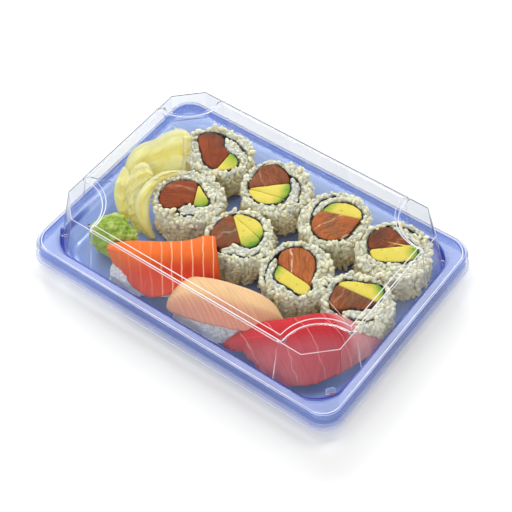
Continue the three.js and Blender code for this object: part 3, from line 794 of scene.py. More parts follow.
# %% Rice round a roll
UP = np.array([0.0, 0.0, 1.0])
LEAST_RICE = 2.3  # mm of rice outside the seaweed
CORE_INSET, CORE_DROP = 1.3, 0.9  # mm that the core lies within the side and the cut face
# Painted shade: the core between the grains takes the dark rice colour.
CORE_TONE = 0.75  # how deep the core looks between the grains
TOP_TRIES, SIDE_TRIES = 3200, 3600  # random spots, most of which lie too near to others
TOP_APART, SIDE_APART = 1.36, 1.6  # mm between the middles of neighbouring grains


def outer_outline(roll, angle):
    """Reach of the rice's outline in plan, with lumps, and room for the least rice."""
    wound = wound_steps(roll["overlap"], roll["overlap"] + 360)
    wrapped = beside_spiral(roll, wound, NORI / 2) - roll["centre"]
    at = np.arctan2(wrapped[:, 1], wrapped[:, 0])
    reach = np.hypot(wrapped[:, 0], wrapped[:, 1])
    order = np.argsort(at)
    least = np.interp(angle, at[order], reach[order], period=2 * np.pi) + LEAST_RICE
    lumps = 0.45 * waves(angle / (2 * np.pi) * 60, int(roll["top"] * 10), 7, 30)
    return np.maximum(rice_reach(roll, angle) + lumps, least)


def make_roll_rice(roll, number):
    """A core whose section is carried round the seaweed, and grains on its cut face and
    its side, as one mesh."""
    random = np.random.default_rng(500 + number)
    centre = np.array(roll["centre"])
    low, top = ROLL_BOTTOM, roll["top"] - CORE_DROP
    wound = wound_steps(roll["overlap"], roll["overlap"] + 360)[:-1]
    hole = beside_spiral(roll, wound, NORI / 2 + 0.1)
    away = hole - centre
    angle = np.arctan2(away[:, 1], away[:, 0])
    edge = around(centre, angle, outer_outline(roll, angle) - CORE_INSET)
    section = [(hole, low), (hole, top), ((hole + edge) / 2, top),
               (edge * 0.92 + hole * 0.08, top - 0.3), (edge, top - 1.5), (edge, low + 6),
               (edge * 0.96 + centre * 0.04, low)]
    points = np.vstack([at_height(xy, z) for xy, z in section])
    faces = grid_faces(len(section) + 1, len(hole)) % len(points)  # the last row meets the first
    parts = [(points, outwards(points, faces), np.full(len(points), CORE_TONE))]

    full = angle_ring(600)
    outline = around(centre, full, outer_outline(roll, full))
    grains = [top_spots(roll, outline, hole, random), side_spots(roll, outline, random)]
    for spots, ways, normals, depth in grains:
        parts.append(lay_grains(spots, ways, normals, random, depth=depth))
    return join_parts(parts)


def angle_ring(count):
    """Angles in radians at even steps round a circle, from -pi."""
    return np.arange(count) / count * 2 * np.pi - np.pi


def turned_ways(along, turn, rise):
    """Directions in plan, each turned by an angle in radians and tilted by a rise."""
    return np.column_stack([
        along[:, 0] * np.cos(turn) - along[:, 1] * np.sin(turn),
        along[:, 0] * np.sin(turn) + along[:, 1] * np.cos(turn),
        rise,
    ])


def top_spots(roll, outline, hole, random):
    """Grains of the cut face, in the ring between seaweed and outline. One near the seaweed
    turns to lie along it. Gives their spots, ways and normals, and how deep they lie."""
    tries = random.uniform(outline.min(0), outline.max(0), (TOP_TRIES, 2))
    within = inside_outline(tries, roll["centre"] + (outline - roll["centre"]) * 0.955)
    tries = tries[within & ~inside_outline(tries, hole)]
    gap = np.linalg.norm(tries[:, None] - hole[None], axis=2)
    nearest, distance = gap.argmin(1), gap.min(1)
    tries, nearest, distance = (v[distance > 0.95] for v in (tries, nearest, distance))
    kept = thin_out(at_height(tries, 0), TOP_APART)
    tries, nearest, distance = tries[kept], nearest[kept], distance[kept]
    along = unit_rows(np.roll(hole, -1, 0)[nearest] - np.roll(hole, 1, 0)[nearest])
    turn = random.uniform(-np.pi / 2, np.pi / 2, len(tries))
    turn = np.where(distance < 1.9, turn * 0.3, turn)
    ways = turned_ways(along, turn, random.normal(0, 0.8, len(tries)))
    height = roll["top"] - 0.75 + 0.6 * ripple(tries, int(roll["top"] * 10), 7)
    height += random.normal(0, 0.35, len(tries))
    return at_height(tries, height), ways, UP, smooth_step(roll["top"] - height, 0.4, 2.2)


def side_spots(roll, outline, random):
    """Grains round the side: spots spread by length of outline and height, each grain
    turned at random in the surface and sunk to half its thickness. Gives what top_spots
    gives."""
    looped = np.vstack([outline, outline[:1]])
    run = run_along(looped)
    at = random.uniform(0, run[-1], SIDE_TRIES)
    z = random.uniform(ROLL_BOTTOM + 1.6, roll["top"] - 0.5, SIDE_TRIES)
    xy = points_at(looped, run, at)
    along = unit_rows(points_at(looped, run, (at + 0.5) % run[-1]) - xy)
    kept = thin_out(at_height(xy, z), SIDE_APART)
    xy, z, along = xy[kept], z[kept], along[kept]
    out = np.column_stack([along[:, 1], -along[:, 0]])
    sunk = 1.25 + random.normal(0, 0.25, len(xy)) + 0.6 * ripple(at_height(xy, z), 3, 9)
    sunk += 1.3 * smooth_step(z, roll["top"] - 3, roll["top"])
    spots = at_height(xy - out * sunk[:, None], z)
    turn = random.uniform(-np.pi / 2, np.pi / 2, len(xy))
    steep = np.sin(turn) * np.clip(np.minimum(z - ROLL_BOTTOM, roll["top"] - z) / 2.4, 0.1, 1)
    ways = at_height(along * np.cos(turn)[:, None], steep)
    ways[:, :2] += out * random.normal(0, 0.5, (len(xy), 1))
    normals = at_height(out + random.normal(0, 0.25, out.shape), random.normal(0.1, 0.2, len(xy)))
    return spots, ways, normals, smooth_step(sunk, 1.0, 2.6)


def join_parts(parts):
    """Several lots of points, faces and tones as one."""
    points, faces, tones, start = [], [], [], 0
    for p, f, t in parts:
        points.append(p)
        faces.append(f + start)
        tones.append(t)
        start += len(p)
    return np.vstack(points), np.vstack(faces), np.concatenate(tones)


def make_grains(node, lot, material):
    """The piece of rice that takes the place of a CAD node. Gives its number of faces."""
    points, faces, tones = lot
    make_piece(node + "_grains", points, faces, material, "rice", node, values=tones, closed=False)
    return len(faces)


total = sum(make_grains(roll["name"] + "_rice", make_roll_rice(roll, number), RICE)
            for number, roll in enumerate(ROLLS))
print("faces of rice round the rolls:", total)


# %% Rice between the seaweed's two layers
# Painted shade: the crescent's core takes the dark rice colour.
LAYER_TONE, LAYER_APART = 0.8, 1.4  # its core's depth of tone, and mm between its grains


def make_core_rice(roll, number):
    """A crescent between the first and the last layer of seaweed, with grains laid along
    it in a row or two."""
    random = np.random.default_rng(700 + number)
    low, high = roll["lift"][1:3]
    wound = wound_steps((low + high) / 2 - 360, roll["overlap"] + 3)
    inner = beside_spiral(roll, wound, NORI / 2 + 0.1, False)
    outer = beside_spiral(roll, wound + 360, -NORI / 2 - 0.1)
    top = roll["top"] - 0.7
    section = [(inner, ROLL_BOTTOM), (inner, top), (outer, top), (outer, ROLL_BOTTOM)]
    points, faces = shell(np.stack([at_height(xy, z) for xy, z in section], 1))
    core = (points, outwards(points, faces), np.full(len(points), LAYER_TONE))
    middle = (inner + outer) / 2
    run = run_along(middle)
    at = random.uniform(0.6, run[-1] - 0.6, 400)
    room = np.interp(at, run, np.linalg.norm(outer - inner, axis=1))
    share = random.uniform(0, 1, len(at))
    across = ((1.0 + share * np.maximum(room - 2.0, 0)) / room)[:, None]
    xy = points_at(inner, run, at) * (1 - across) + points_at(outer, run, at) * across
    along = points_at(middle, run, at + 0.8) - points_at(middle, run, at - 0.8)
    spots = at_height(xy, top + 0.2 + random.normal(0, 0.22, len(at)))
    spots, along, room = (v[room > 2.2] for v in (spots, along, room))
    kept = thin_out(spots * [1, 1, 0.3], LAYER_APART)
    spots, along, room = spots[kept], along[kept], room[kept]
    turn = random.uniform(-1.4, 1.4, len(spots)) * np.clip((room - 2) / 6, 0.05, 1)
    ways = turned_ways(unit_rows(along), turn, random.normal(0, 0.12, len(spots)))
    return join_parts([core, lay_grains(spots, ways, UP, random, 0.85)])


for number, roll in enumerate(ROLLS):
    make_grains(roll["name"] + "_core_rice", make_core_rice(roll, number), RICE)
print("crescents of rice:", len(ROLLS))

# %% [markdown]
# ## Nigiri
# A slice of raw fish lies over a small bed of pressed rice and bends down at its ends. Each
# slice is one surface: cross sections with rounded edges, carried along a middle line that
# falls towards both ends. Salmon and tuna show pale seams of fat, and the pale fish a fine
# grain.

# %% Shapes of the fish
# The beds' x, y, length, width and height, and their turn. Then three curves along each
# slice: the edge at its back, its crest, and the edge at its front. ruffle: how far the
# front edge waves.
NIGIRI = {
    "salmon": dict(
        bed=(-32, -39, 52, 25, 16.5), turn=31, thick=5, ruffle=0.25,
        back=[(-61.5, -43.5, 15.5), (-52.6, -38.5, 20), (-43, -34.2, 22.5), (-33.4, -29.3, 24),
              (-26, -24, 24.5), (-21, -18.9, 25), (-18, -15.1, 25.8), (-13.2, -12.5, 25.8)],
        crest=[(-59.3, -46.6, 17), (-47.6, -45, 22.5), (-36.6, -41.3, 25.5), (-27.8, -36, 27),
               (-20.8, -30, 27), (-15.6, -25.1, 27), (-12.3, -20.8, 27), (-8.1, -18.2, 26.6)],
        front=[(-59.1, -46.3, 14), (-52.4, -49.5, 13.2), (-43.2, -52.8, 13), (-32.6, -55.5, 12.8),
               (-23.2, -55.5, 13.6), (-15.2, -50.4, 16), (-8.9, -41.8, 17.5), (1.7, -28.4, 18)],
    ),
    "white_fish": dict(
        bed=(11, -43, 48, 26, 19), turn=18, thick=5.5, ruffle=0.3,
        back=[(-15.7, -48.6, 13), (-14.3, -42.6, 17.5), (-9.5, -38, 21), (-3.1, -35.2, 22.5),
              (3.7, -32.2, 22.6), (10.9, -29.9, 22.4), (19.9, -27.3, 21.6), (27.1, -25.6, 20),
              (34.6, -25.4, 17.5), (41.2, -27.8, 14)],
        crest=[(-13.8, -52.5, 14), (-9.4, -49.6, 20), (-3, -47, 24), (4.2, -44.8, 26),
               (12.5, -41.8, 26.5), (21.3, -39, 26.2), (28.1, -36.6, 25.2), (34.1, -33.8, 23),
               (38.8, -31, 19.5), (42.6, -28.8, 15)],
        front=[(-12.4, -55.5, 12.6), (-8.7, -56.6, 13.5), (-2, -56.3, 15), (6.2, -55.5, 16.5),
               (13.6, -54.1, 18), (20.3, -52, 19), (27.1, -49.6, 19), (33.6, -45.8, 18.5),
               (39.4, -40.2, 17), (43, -30, 14)],
    ),
    "tuna": dict(
        bed=(57, -34.5, 48, 21, 18), turn=38, thick=4.2, ruffle=1.1,
        back=[(22.5, -54.4, 8), (28, -48.3, 15), (34.3, -40.6, 19.5), (43, -34, 21.5),
              (50.9, -26.6, 22.5), (58.6, -19, 23), (66.9, -13.6, 21.5), (75.3, -10, 17),
              (81.6, -7, 11.6), (87, -4.4, 7.4)],
        crest=[(23.2, -55, 8.6), (31.8, -51.7, 16), (41.2, -47.6, 21.8), (49.5, -41.8, 24.8),
               (57.4, -34.9, 26), (64.8, -27.8, 25.9), (72.2, -21.2, 24), (78.8, -16.2, 19),
               (84, -11, 13), (87.6, -5, 7.6)],
        front=[(23.5, -55.4, 8), (30.2, -55.6, 10.5), (36.1, -54, 11), (42.9, -56, 10),
               (51, -57, 8.6), (60.3, -55.6, 7.2), (68.6, -51.6, 7), (75.4, -44.2, 7.5),
               (80.4, -35, 8.2), (84.1, -25, 8.4), (86.6, -15, 8), (87.8, -5.6, 6.6)],
    ),
}


def curve_through(knots, t):
    """A smooth curve through a few points, at shares of the way from 0 to 1."""
    knots = np.asarray(knots, float)
    knots = np.vstack([2 * knots[0] - knots[1], knots, 2 * knots[-1] - knots[-2]])
    place = np.clip(t, 0, 1) * (len(knots) - 3)
    i = np.minimum(np.floor(place).astype(int), len(knots) - 4)
    s = (place - i)[:, None]
    a, b, c, d = (knots[i + k] for k in range(4))
    return catmull_rom(a, b, c, d, s)


def both_faces(upper, lower):
    """Rings that run over a slice's upper face and back along its lower one."""
    return np.concatenate([upper, lower[:, ::-1][:, 1:-1]], 1)


def fish_surface(fish, seed, stations=90, across=48):
    """Cross sections of a slice. From the crest to each edge the plan is a straight line
    and the height falls by the power 2.2, so that the side hangs ever more steeply. Upper
    and lower faces meet in a rounded edge. Gives the rings, and mm from the crest."""
    u = np.linspace(0, 1, stations)
    lines = (curve_through(fish[part], u)[:, None] for part in ("back", "crest", "front"))
    back, crest, front = lines
    t = np.cos(np.linspace(0, np.pi, across))[None, :, None]
    edge = np.where(t > 0, back, front)
    share = np.abs(t)
    upper = crest + (edge - crest) * share
    upper[..., 2:] = crest[..., 2:] + (edge - crest)[..., 2:] * share**2.2
    wave = waves(u * 90, seed, 6, 12)[:, None] * fish["ruffle"]
    front_share = np.clip(-t[..., 0], 0, 1) ** 3
    away = edge - crest
    away = away / np.maximum(np.linalg.norm(away[..., :2], axis=2), 0.5)[..., None]
    upper += away * [1, 1, 0] * (wave * front_share)[..., None]
    upper[..., 2] += 0.6 * wave * front_share
    end = np.sqrt(np.maximum(0.03, 1 - np.abs(2 * u - 1) ** 14))[:, None]
    thick = fish["thick"] * np.maximum(0, 1 - 0.98 * t[..., 0] ** 2) ** 0.35 * end
    thick = np.minimum(thick, np.maximum(upper[..., 2] - ROLL_BOTTOM - 0.3, 0.4))
    lower = upper - np.stack([0 * thick, 0 * thick, thick], -1)
    width = np.linalg.norm((edge - crest)[..., :2], axis=2) * t[..., 0]
    return both_faces(upper, lower), both_faces(width, width)


# %% Finishes of the fish
def fish_finish(name, colours, lines, fibre, front_edge, tail):
    """Raw fish: flesh that changes from back to front, seams of fat that are upright
    planes, and a fine grain beside them. The map holds mm across the seams in plan, and mm
    from the crest. lines: the seams' spacing, shift, width, strength and where they start.
    fibre: its size and contrast. tail: a colour that comes in across the seams, its
    strength and where it starts."""
    back, front, fat = colours
    spacing, shift, width, strength, begin = lines
    size, contrast = fibre
    late_colour, late_share, late = tail
    material, add, where = new_material(name)
    at = add("UVMap", uv_map="surface")
    parts = add("SeparateXYZ", (at,)).node.outputs
    slow = add("TexNoise", {"Vector": where, "Scale": 0.07, "Detail": 2.0})
    bend = add("MapRange", {"Value": slow, "To Min": -spacing * 0.3, "To Max": spacing * 0.3})
    u = add("Math", (parts["X"], bend), operation="ADD")
    u = add("Math", (u, shift), operation="SUBTRACT")
    apart = add("Math", (u, spacing / 2), operation="PINGPONG")
    seam = add("MapRange", (apart, 0.0, width, strength, 0.0), interpolation_type="SMOOTHERSTEP")
    fade = add("MapRange", (parts["X"], begin, begin + 12, 0.15, 1.0))
    shown = add("Math", (seam, fade), operation="MULTIPLY")
    side = add("MapRange", (parts["Y"], front_edge - 6, front_edge + 6, 0.0, 1.0),
               interpolation_type="SMOOTHSTEP")
    flesh = add("Mix", (side, front, back), data_type="RGBA")
    turned = add("Mapping", {"Vector": at, "Scale": (1 / size, 0.06 / size, 1.0)})
    grain = add("TexNoise", {"Vector": turned, "Scale": 1.0, "Detail": 2.0})
    shade = add("MapRange", (grain, 0.3, 0.7, 1 - contrast, 1 + contrast / 2))
    grained = add("Mix", (1.0, flesh, shade), data_type="RGBA", blend_type="MULTIPLY")
    end = add("MapRange", (parts["X"], late, late + 7, 0.0, late_share),
              interpolation_type="SMOOTHSTEP")
    ended = add("Mix", (end, grained, late_colour), data_type="RGBA")
    colour = add("Mix", (shown, ended, fat), data_type="RGBA")
    bump = add("Bump", {"Height": grain, "Strength": 0.25, "Distance": 0.0002})
    surface = add("BsdfPrincipled", {
        "Base Color": colour, "Roughness": 0.5, "Specular IOR Level": 0.04, "Normal": bump,
        "Subsurface Weight": 0.25, "Subsurface Scale": 1.0,
        "Subsurface Radius": (0.004, 0.0016, 0.0008),
    })
    add("OutputMaterial", (surface,))
    return material


FISH_FINISH = {
    "salmon": fish_finish(
        "raw salmon slice", ("#f2732f", "#dd4327", "#fdcda2"),
        (5.4, 2.3, 0.6, 0.75, -53), (0.7, 0.1), -9, ("#d9591c", 0.7, -23)),
    "white_fish": fish_finish(
        "raw pale fish slice", ("#edc08a", "#e2957b", "#f6e2c8"),
        (1.9, 0, 0.7, 0.12, -90), (0.6, 0.16), -3, ("#f0c795", 0.4, 0)),
    # The tuna's pale pink front is partly painted haze, the veil of the lid's front wall.
    "tuna": fish_finish(
        "raw tuna slice", ("#c92f35", "#cf6169", "#efaaaa"),
        (13, 4, 0.45, 0.45, -90), (0.9, 0.12), -6, ("#e6a3a4", 0.75, 5)),
}
SEAMS = {"salmon": 38.3, "white_fish": 66, "tuna": 68}  # degrees, the way across the seams

for number, (kind, fish) in enumerate(NIGIRI.items()):
    rows, width = fish_surface(fish, 60 + number)
    points, faces = shell(rows)
    width = np.concatenate([width.ravel(), [0, 0]])
    uv = np.column_stack([points[:, :2] @ unit(SEAMS[kind]), width])
    name = f"nigiri_{kind}_fish"
    make_piece(name + "_slice", points, faces, FISH_FINISH[kind], kind + "_slice", name, uv=uv)
print("slices of fish:", len(NIGIRI))


# %% Rice under the fish
BED_WALL = -55.5  # the tray's front wall, against which a bed is pressed flat
BED_LEVELS = [  # share of the bed's height, and of its width there
    (0, 0.88), (0.12, 0.97), (0.25, 1), (0.5, 1), (0.65, 0.96), (0.8, 0.86), (0.92, 0.7), (1, 0.4),
]
BED_INSET, BED_DROP = 1.4, 1.2  # mm that the core lies within the sides and the top
# Painted shade: the bed's core takes a darker tone than the grains.
BED_TONE, BED_APART = 0.3, 1.75  # the core's depth of tone, and mm between the grains


def make_bed(fish, number):
    """A pressed lump: level rings in the shape of a squared ellipse, which grow and shrink
    with height. Grains cover its sides and shoulders."""
    random = np.random.default_rng(900 + number)
    x, y, length, width, top = fish["bed"]
    cos, sin = unit(fish["turn"])
    angle = angle_ring(64)
    square = (np.abs(np.cos(angle)) ** 3 + np.abs(np.sin(angle)) ** 3) ** (-1 / 3)
    rows = []
    for level, share in BED_LEVELS:
        px = (length / 2 * share - BED_INSET) * square * np.cos(angle)
        py = (width / 2 * share - BED_INSET) * square * np.sin(angle)
        xy = np.column_stack([x + px * cos - py * sin, y + px * sin + py * cos])
        rows.append(at_height(xy, ROLL_BOTTOM + (top - BED_DROP - ROLL_BOTTOM) * level))
    points, faces = shell(rows)
    faces = outwards(points, faces)
    spots, ways, normals = scatter_on(points, faces, 3400, BED_APART, random)
    kept = spots[:, 2] > ROLL_BOTTOM + 1.7
    spots, ways, normals = spots[kept], ways[kept], normals[kept]
    grains = lay_grains(spots - normals * 0.25, ways, normals, random, 0.8)
    points, faces, tones = join_parts([(points, faces, np.full(len(points), BED_TONE)), grains])
    points[:, 1] = np.maximum(points[:, 1], BED_WALL)
    return points, faces, tones


def scatter_on(points, faces, tries, apart, random):
    """Random spots on quads by area, thinned to a distance, with a direction in the surface
    and the surface's normal."""
    corner = points[faces]
    normal = np.cross(corner[:, 2] - corner[:, 0], corner[:, 3] - corner[:, 1])
    flat = faces[:, 2] == faces[:, 3]
    normal[flat] = np.cross(corner[flat, 1] - corner[flat, 0], corner[flat, 2] - corner[flat, 0])
    area = np.linalg.norm(normal, axis=1)
    chosen = random.choice(len(faces), tries, p=area / area.sum())
    u, v = random.random((2, tries, 1))
    c = corner[chosen]
    spots = (c[:, 0] * (1 - u) + c[:, 1] * u) * (1 - v) + (c[:, 3] * (1 - u) + c[:, 2] * u) * v
    normals = normal[chosen] / area[chosen][:, None]
    kept = thin_out(spots, apart)
    spots, normals = spots[kept], normals[kept]
    ways = np.cross(normals, random.standard_normal((len(spots), 3)))
    return spots, ways, normals


for number, (kind, fish) in enumerate(NIGIRI.items()):
    make_grains(f"nigiri_{kind}_rice", make_bed(fish, number), BED_RICE)
print("beds of rice:", len(NIGIRI))

# %% [markdown]
# ## Ginger and wasabi
# Pickled ginger is sliced thin, so it is limp and lets light through, and the slices fold
# over each other. Wasabi paste is a rough lump. Each slice of ginger is a thin sheet along
# a curved line, and the lump is a ball pushed in and out by noise of several sizes.


# %% Ginger
def ginger_finish():
    """Thin pale slices: yellow where they are thick, nearly clear at their thin rims, with
    fine fibres along them."""
    material, add, where = new_material("pickled ginger, sliced thin")
    at = add("UVMap", uv_map="surface")
    rim = add("Attribute", out="Fac", attribute_name="tone")
    cloud = add("TexNoise", {"Vector": where, "Scale": 0.09, "Detail": 2.0})
    stretched = add("Mapping", {"Vector": at, "Scale": (0.07, 0.9, 1.0)})
    fibre = add("TexNoise", {"Vector": stretched, "Scale": 1.0, "Detail": 3.0})
    thick = add("MapRange", (rim, 0.1, 0.9, 0.0, 1.0))
    deep = add("Math", (cloud, thick), operation="MULTIPLY")
    rich = add("MapRange", (deep, 0.15, 0.6, 0.0, 1.0))
    pale = add("Mix", (rich, "#fdf0aa", "#fadf7c"), data_type="RGBA")
    shade = add("MapRange", (fibre, 0.3, 0.7, 0.9, 1.08))
    colour = add("Mix", (1.0, pale, shade), data_type="RGBA", blend_type="MULTIPLY")
    bump = add("Bump", {"Height": fibre, "Strength": 0.35, "Distance": 0.0004})
    surface = add("BsdfPrincipled", {
        "Base Color": colour, "Roughness": 0.45, "Specular IOR Level": 0.1, "Normal": bump,
        "Subsurface Weight": 0.6, "Subsurface Scale": 1.0,
        "Subsurface Radius": (0.005, 0.004, 0.0015),
    })
    clear = add("BsdfTransparent", ("#fbf8e6",))
    shown = add("MapRange", (rim, 0.0, 0.25, 0.82, 1.0))
    full = add("MixShader", (shown, clear, surface))
    add("OutputMaterial", (full,))
    return material


# Each slice: its node, its two long edges, how far it bulges, its folds and its thickness.
GINGER = [
    ("1",
     [(-87.5, 4.0, 13), (-87.6, 2.8, 20), (-87.6, 8.4, 25), (-86.8, 16.9, 25),
      (-82.9, 22.6, 25.5), (-80.2, 30.1, 26.5), (-75.7, 36.1, 27.2), (-70.1, 37.7, 26.6),
      (-65.9, 35.3, 24)],
     [(-82.4, -2.4, 6), (-78.9, 0.1, 9), (-76, 3.9, 12), (-73.6, 7.2, 12.5), (-70.5, 11.2, 12.5),
      (-67.2, 14.9, 12.5), (-63.3, 18.1, 13), (-60.5, 20.8, 13.5), (-62, 25.4, 15)],
     2.6, 0.12, 1.0),
    ("1",
     [(-71.6, 33.1, 28), (-67.7, 29.3, 26.5), (-65.3, 25.8, 21.5), (-61.8, 19.5, 15.5)],
     [(-68, 36.8, 27), (-64.4, 32.5, 25), (-63.1, 27.9, 21), (-59.6, 21.1, 15.5)],
     1.4, 0.05, 0.8),
    ("2",
     [(-86.9, -1.6, 20), (-85.1, -7.7, 18.5), (-82.7, -13.3, 15.5), (-79.2, -16.6, 11),
      (-76.3, -18.2, 7), (-72.4, -18.7, 3.4)],
     [(-82.3, 1.1, 20.5), (-77.6, -4.3, 19.5), (-74.5, -8.7, 15.8), (-72, -12.1, 11.6),
      (-69.9, -14.7, 8), (-67.8, -16.5, 4.4)],
     1.8, 0.35, 1.0),
    ("3",
     [(-55.7, 19.7, 20), (-61.1, 14.4, 22.2), (-66, 7.7, 23), (-67.9, -1.6, 23), (-67.8, -10, 21),
      (-66.7, -15.3, 16.5), (-63.5, -17.5, 10.5), (-59.1, -18.8, 5.6), (-53.1, -17.6, 2.2)],
     [(-55.5, 19.3, 18.5), (-59.8, 13.4, 19), (-62.8, 7.1, 18.8), (-63.1, -1.1, 18.8),
      (-61.5, -7.9, 18), (-59.2, -11.6, 14), (-56.9, -14.3, 9), (-53.7, -16.1, 4.6),
      (-51.2, -16.4, 2.4)],
     2.0, 0.25, 1.1),
    ("3",
     [(-56.8, 18.5, 20.9), (-61.5, 12.3, 23.1), (-65.2, 5.9, 23.9), (-66.3, -2.2, 23.8)],
     [(-56.6, 18.2, 20), (-60.6, 12, 21.8), (-64, 5.8, 22.2), (-64.6, -2.4, 22)],
     0.5, 0.1, 0.8),
    ("4",
     [(-63, -18, 5), (-58.8, -19, 3), (-53, -19.5, 1.6)],
     [(-59.5, -14.3, 6.4), (-54.8, -15.2, 3.8), (-51.1, -16.7, 1.9)],
     0.9, 0.15, 0.7),
    ("5",
     [(-77.4, -8.3, 16), (-79.8, -1.8, 21.5), (-79.1, 3.4, 25), (-75.5, 6.8, 25.4),
      (-68.7, 5.8, 22.6)],
     [(-72.7, -14.4, 10), (-71.2, -12.6, 12.6), (-69.4, -9.2, 15.5), (-68.7, -4.2, 18),
      (-68.8, 2.2, 20.2)],
     2.4, 0.45, 1.0),
    ("5",
     [(-73.6, -12.8, 14.5), (-70, -16.9, 10), (-66.2, -19.5, 5.5), (-60.6, -20.3, 2.2)],
     [(-69.1, -9, 17.2), (-65.9, -13.3, 13.6), (-62.5, -15.1, 8.4), (-57.6, -16.6, 3.2)],
     1.6, 0.3, 0.9),
]


def ginger_sheet(edge_a, edge_b, bulge, fold, thick, seed, stations=70, across=44):
    """A thin slice: a surface between two edge curves, raised along its normal by a bulge
    that is widest in its middle and by folds that run along it. Its ends are rounded, and
    its two faces meet in a soft edge. Gives the rings, their map in mm, and 0 at the rim to
    1 in the middle."""
    u = np.linspace(0, 1, stations)
    a, b = curve_through(edge_a, u)[:, None], curve_through(edge_b, u)[:, None]
    v = (1 - np.cos(np.linspace(0, np.pi, across)))[None] / 2
    end = (1 - np.abs(2 * u - 1) ** 7)[:, None] ** 0.5 * 0.94 + 0.06
    place = (0.5 + (v - 0.5) * end)[..., None]
    flat = a * (1 - place) + b * place
    normal = np.cross(np.gradient(flat, axis=0), np.gradient(flat, axis=1))
    normal /= np.maximum(np.linalg.norm(normal, axis=2), 1e-9)[..., None]
    normal *= np.sign(normal[..., 2].mean())
    width = np.linalg.norm(a - b, axis=2)
    arch = 4 * place[..., 0] * (1 - place[..., 0])
    turns = np.clip(width / 4.5, 1, 4).mean()
    along = u[:, None] * 6
    crease = np.sin(2 * np.pi * turns * place[..., 0] + np.sin(along + seed) * 1.4 + seed)
    crease = np.sign(crease) * np.abs(crease) ** 0.7
    small = np.sin(2 * np.pi * turns * 2.3 * place[..., 0] + along * 1.3 + seed * 3)
    raised = bulge * arch**0.8 + fold * (crease + 0.35 * small) * arch**0.5
    spread = np.stack(np.broadcast_arrays(u[:, None] * 45, place[..., 0] * width), -1)
    spread = spread.reshape(-1, 2)
    crumple = 0.28 * ripple(spread, seed + 80, 9) + 0.1 * ripple(spread, seed + 90, 4)
    raised = raised + crumple.reshape(raised.shape) * arch**0.3
    middle = flat + normal * raised[..., None]
    half = (thick / 2 * np.sqrt(np.maximum(0.004, 1 - (2 * v - 1) ** 2)) + 0 * width)[..., None]
    rows = both_faces(middle + normal * half, middle - normal * half)
    length = np.linalg.norm(np.diff(((a + b) / 2)[:, 0], axis=0), axis=1).sum()
    flat_map = np.stack(np.broadcast_arrays(u[:, None] * length, v * width), -1)
    rim = np.broadcast_to(np.minimum(v, 1 - v) * 2, flat_map.shape[:2]) * end
    return rows, both_faces(flat_map, flat_map), both_faces(rim, rim)


GINGER_FINISH = ginger_finish()
for number, (node, edge_a, edge_b, bulge, fold, thick) in enumerate(GINGER, 1):
    rows, flat, rim = ginger_sheet(edge_a, edge_b, bulge, fold, thick, number)
    points, faces = shell(rows)
    uv = np.vstack([flat.reshape(-1, 2), flat[0].mean(0)[None], flat[-1].mean(0)[None]])
    tones = np.concatenate([rim.ravel(), [0, 0]])
    make_piece(f"ginger_sheet_{number}", points, faces, GINGER_FINISH, "ginger", "ginger_" + node,
               values=tones, uv=uv)
print("slices of ginger:", len(GINGER))


# %% Wasabi
def wasabi_finish():
    """Moist green paste: painted pale on its lumps and darker between them as light and shade, with
    a rough crumb.
    """
    material, add, where = new_material("wasabi paste, rough")
    tone = add("Attribute", out="Fac", attribute_name="tone")
    crumb = add("TexNoise", {"Vector": where, "Scale": 0.6, "Detail": 4.0})
    deep = add("Mix", (tone, "#94ad45", "#eaf091"), data_type="RGBA")
    shade = add("MapRange", (crumb, 0.3, 0.7, 0.85, 1.1))
    colour = add("Mix", (1.0, deep, shade), data_type="RGBA", blend_type="MULTIPLY")
    bump = add("Bump", {"Height": crumb, "Strength": 0.6, "Distance": 0.0008})
    surface = add("BsdfPrincipled", {
        "Base Color": colour, "Roughness": 0.55, "Specular IOR Level": 0.1, "Normal": bump,
        "Subsurface Weight": 0.25, "Subsurface Scale": 1.0,
        "Subsurface Radius": (0.0015, 0.002, 0.0006),
    })
    add("OutputMaterial", (surface,))
    return material


WASABI = dict(spot=(-66, -34), half=13, top=20)


def bumps_on_ball(direction, size, random, count):
    """Rounded lumps on a ball: the highest of many caps of one angular size."""
    centres = unit_rows(random.standard_normal((count, 3)))
    near = direction @ centres.T
    height = random.uniform(0.4, 1, count)
    return (np.maximum(0, 1 - (1 - near) / (1 - math.cos(size))) ** 0.7 * height).max(-1)


def make_wasabi():
    """A ball, flattened below, whose reach in each direction is raised by rounded lumps of
    four sizes."""
    random = np.random.default_rng(40)
    rows, columns = 110, 190
    polar = np.linspace(0.02, np.pi - 0.02, rows)[:, None]
    angle = angle_ring(columns)[None]
    way = np.stack([np.sin(polar) * np.cos(angle), np.sin(polar) * np.sin(angle),
                    np.cos(polar) + 0 * angle], -1)
    flat = way.reshape(-1, 3)

    def lumps(height, size, count):
        return height * bumps_on_ball(flat, size, random, count)

    relief = lumps(0.2, 0.75, 14) + lumps(0.13, 0.3, 90)
    relief += lumps(0.1, 0.14, 500) + lumps(0.05, 0.07, 1800)
    reach = (0.69 + relief).reshape(rows, columns)
    half = WASABI["half"]
    height = (WASABI["top"] - ROLL_BOTTOM) / 2
    x = WASABI["spot"][0] + way[..., 0] * reach * half
    y = WASABI["spot"][1] + way[..., 1] * reach * half
    z = ROLL_BOTTOM + height + np.clip(way[..., 2] * reach, -1, 2) * height
    points, faces = shell(np.stack([x, y, z], -1))
    # Painted light and shade: the higher the lumps, the paler the paste is painted.
    tone = np.clip((relief.ravel() - 0.2) * 4, 0, 1)
    tone = np.concatenate([tone, tone[:1], tone[-1:]])
    return make_piece("wasabi_lump", points, faces, wasabi_finish(), "wasabi", "wasabi",
                      values=tone)


print("wasabi points:", len(make_wasabi().data.vertices))

# %% [markdown]
# ## Tray and lid
# Both are sheets of plastic drawn over a mould while hot, so they are thin, glossy and have
# soft corners. The tray is a clear blue tint, and its rim carries a ridge that the lid snaps
# over. Each is one surface: its profile from the middle outwards, carried round a rectangle
# with cut or rounded corners, then given its thickness by a Solidify modifier.

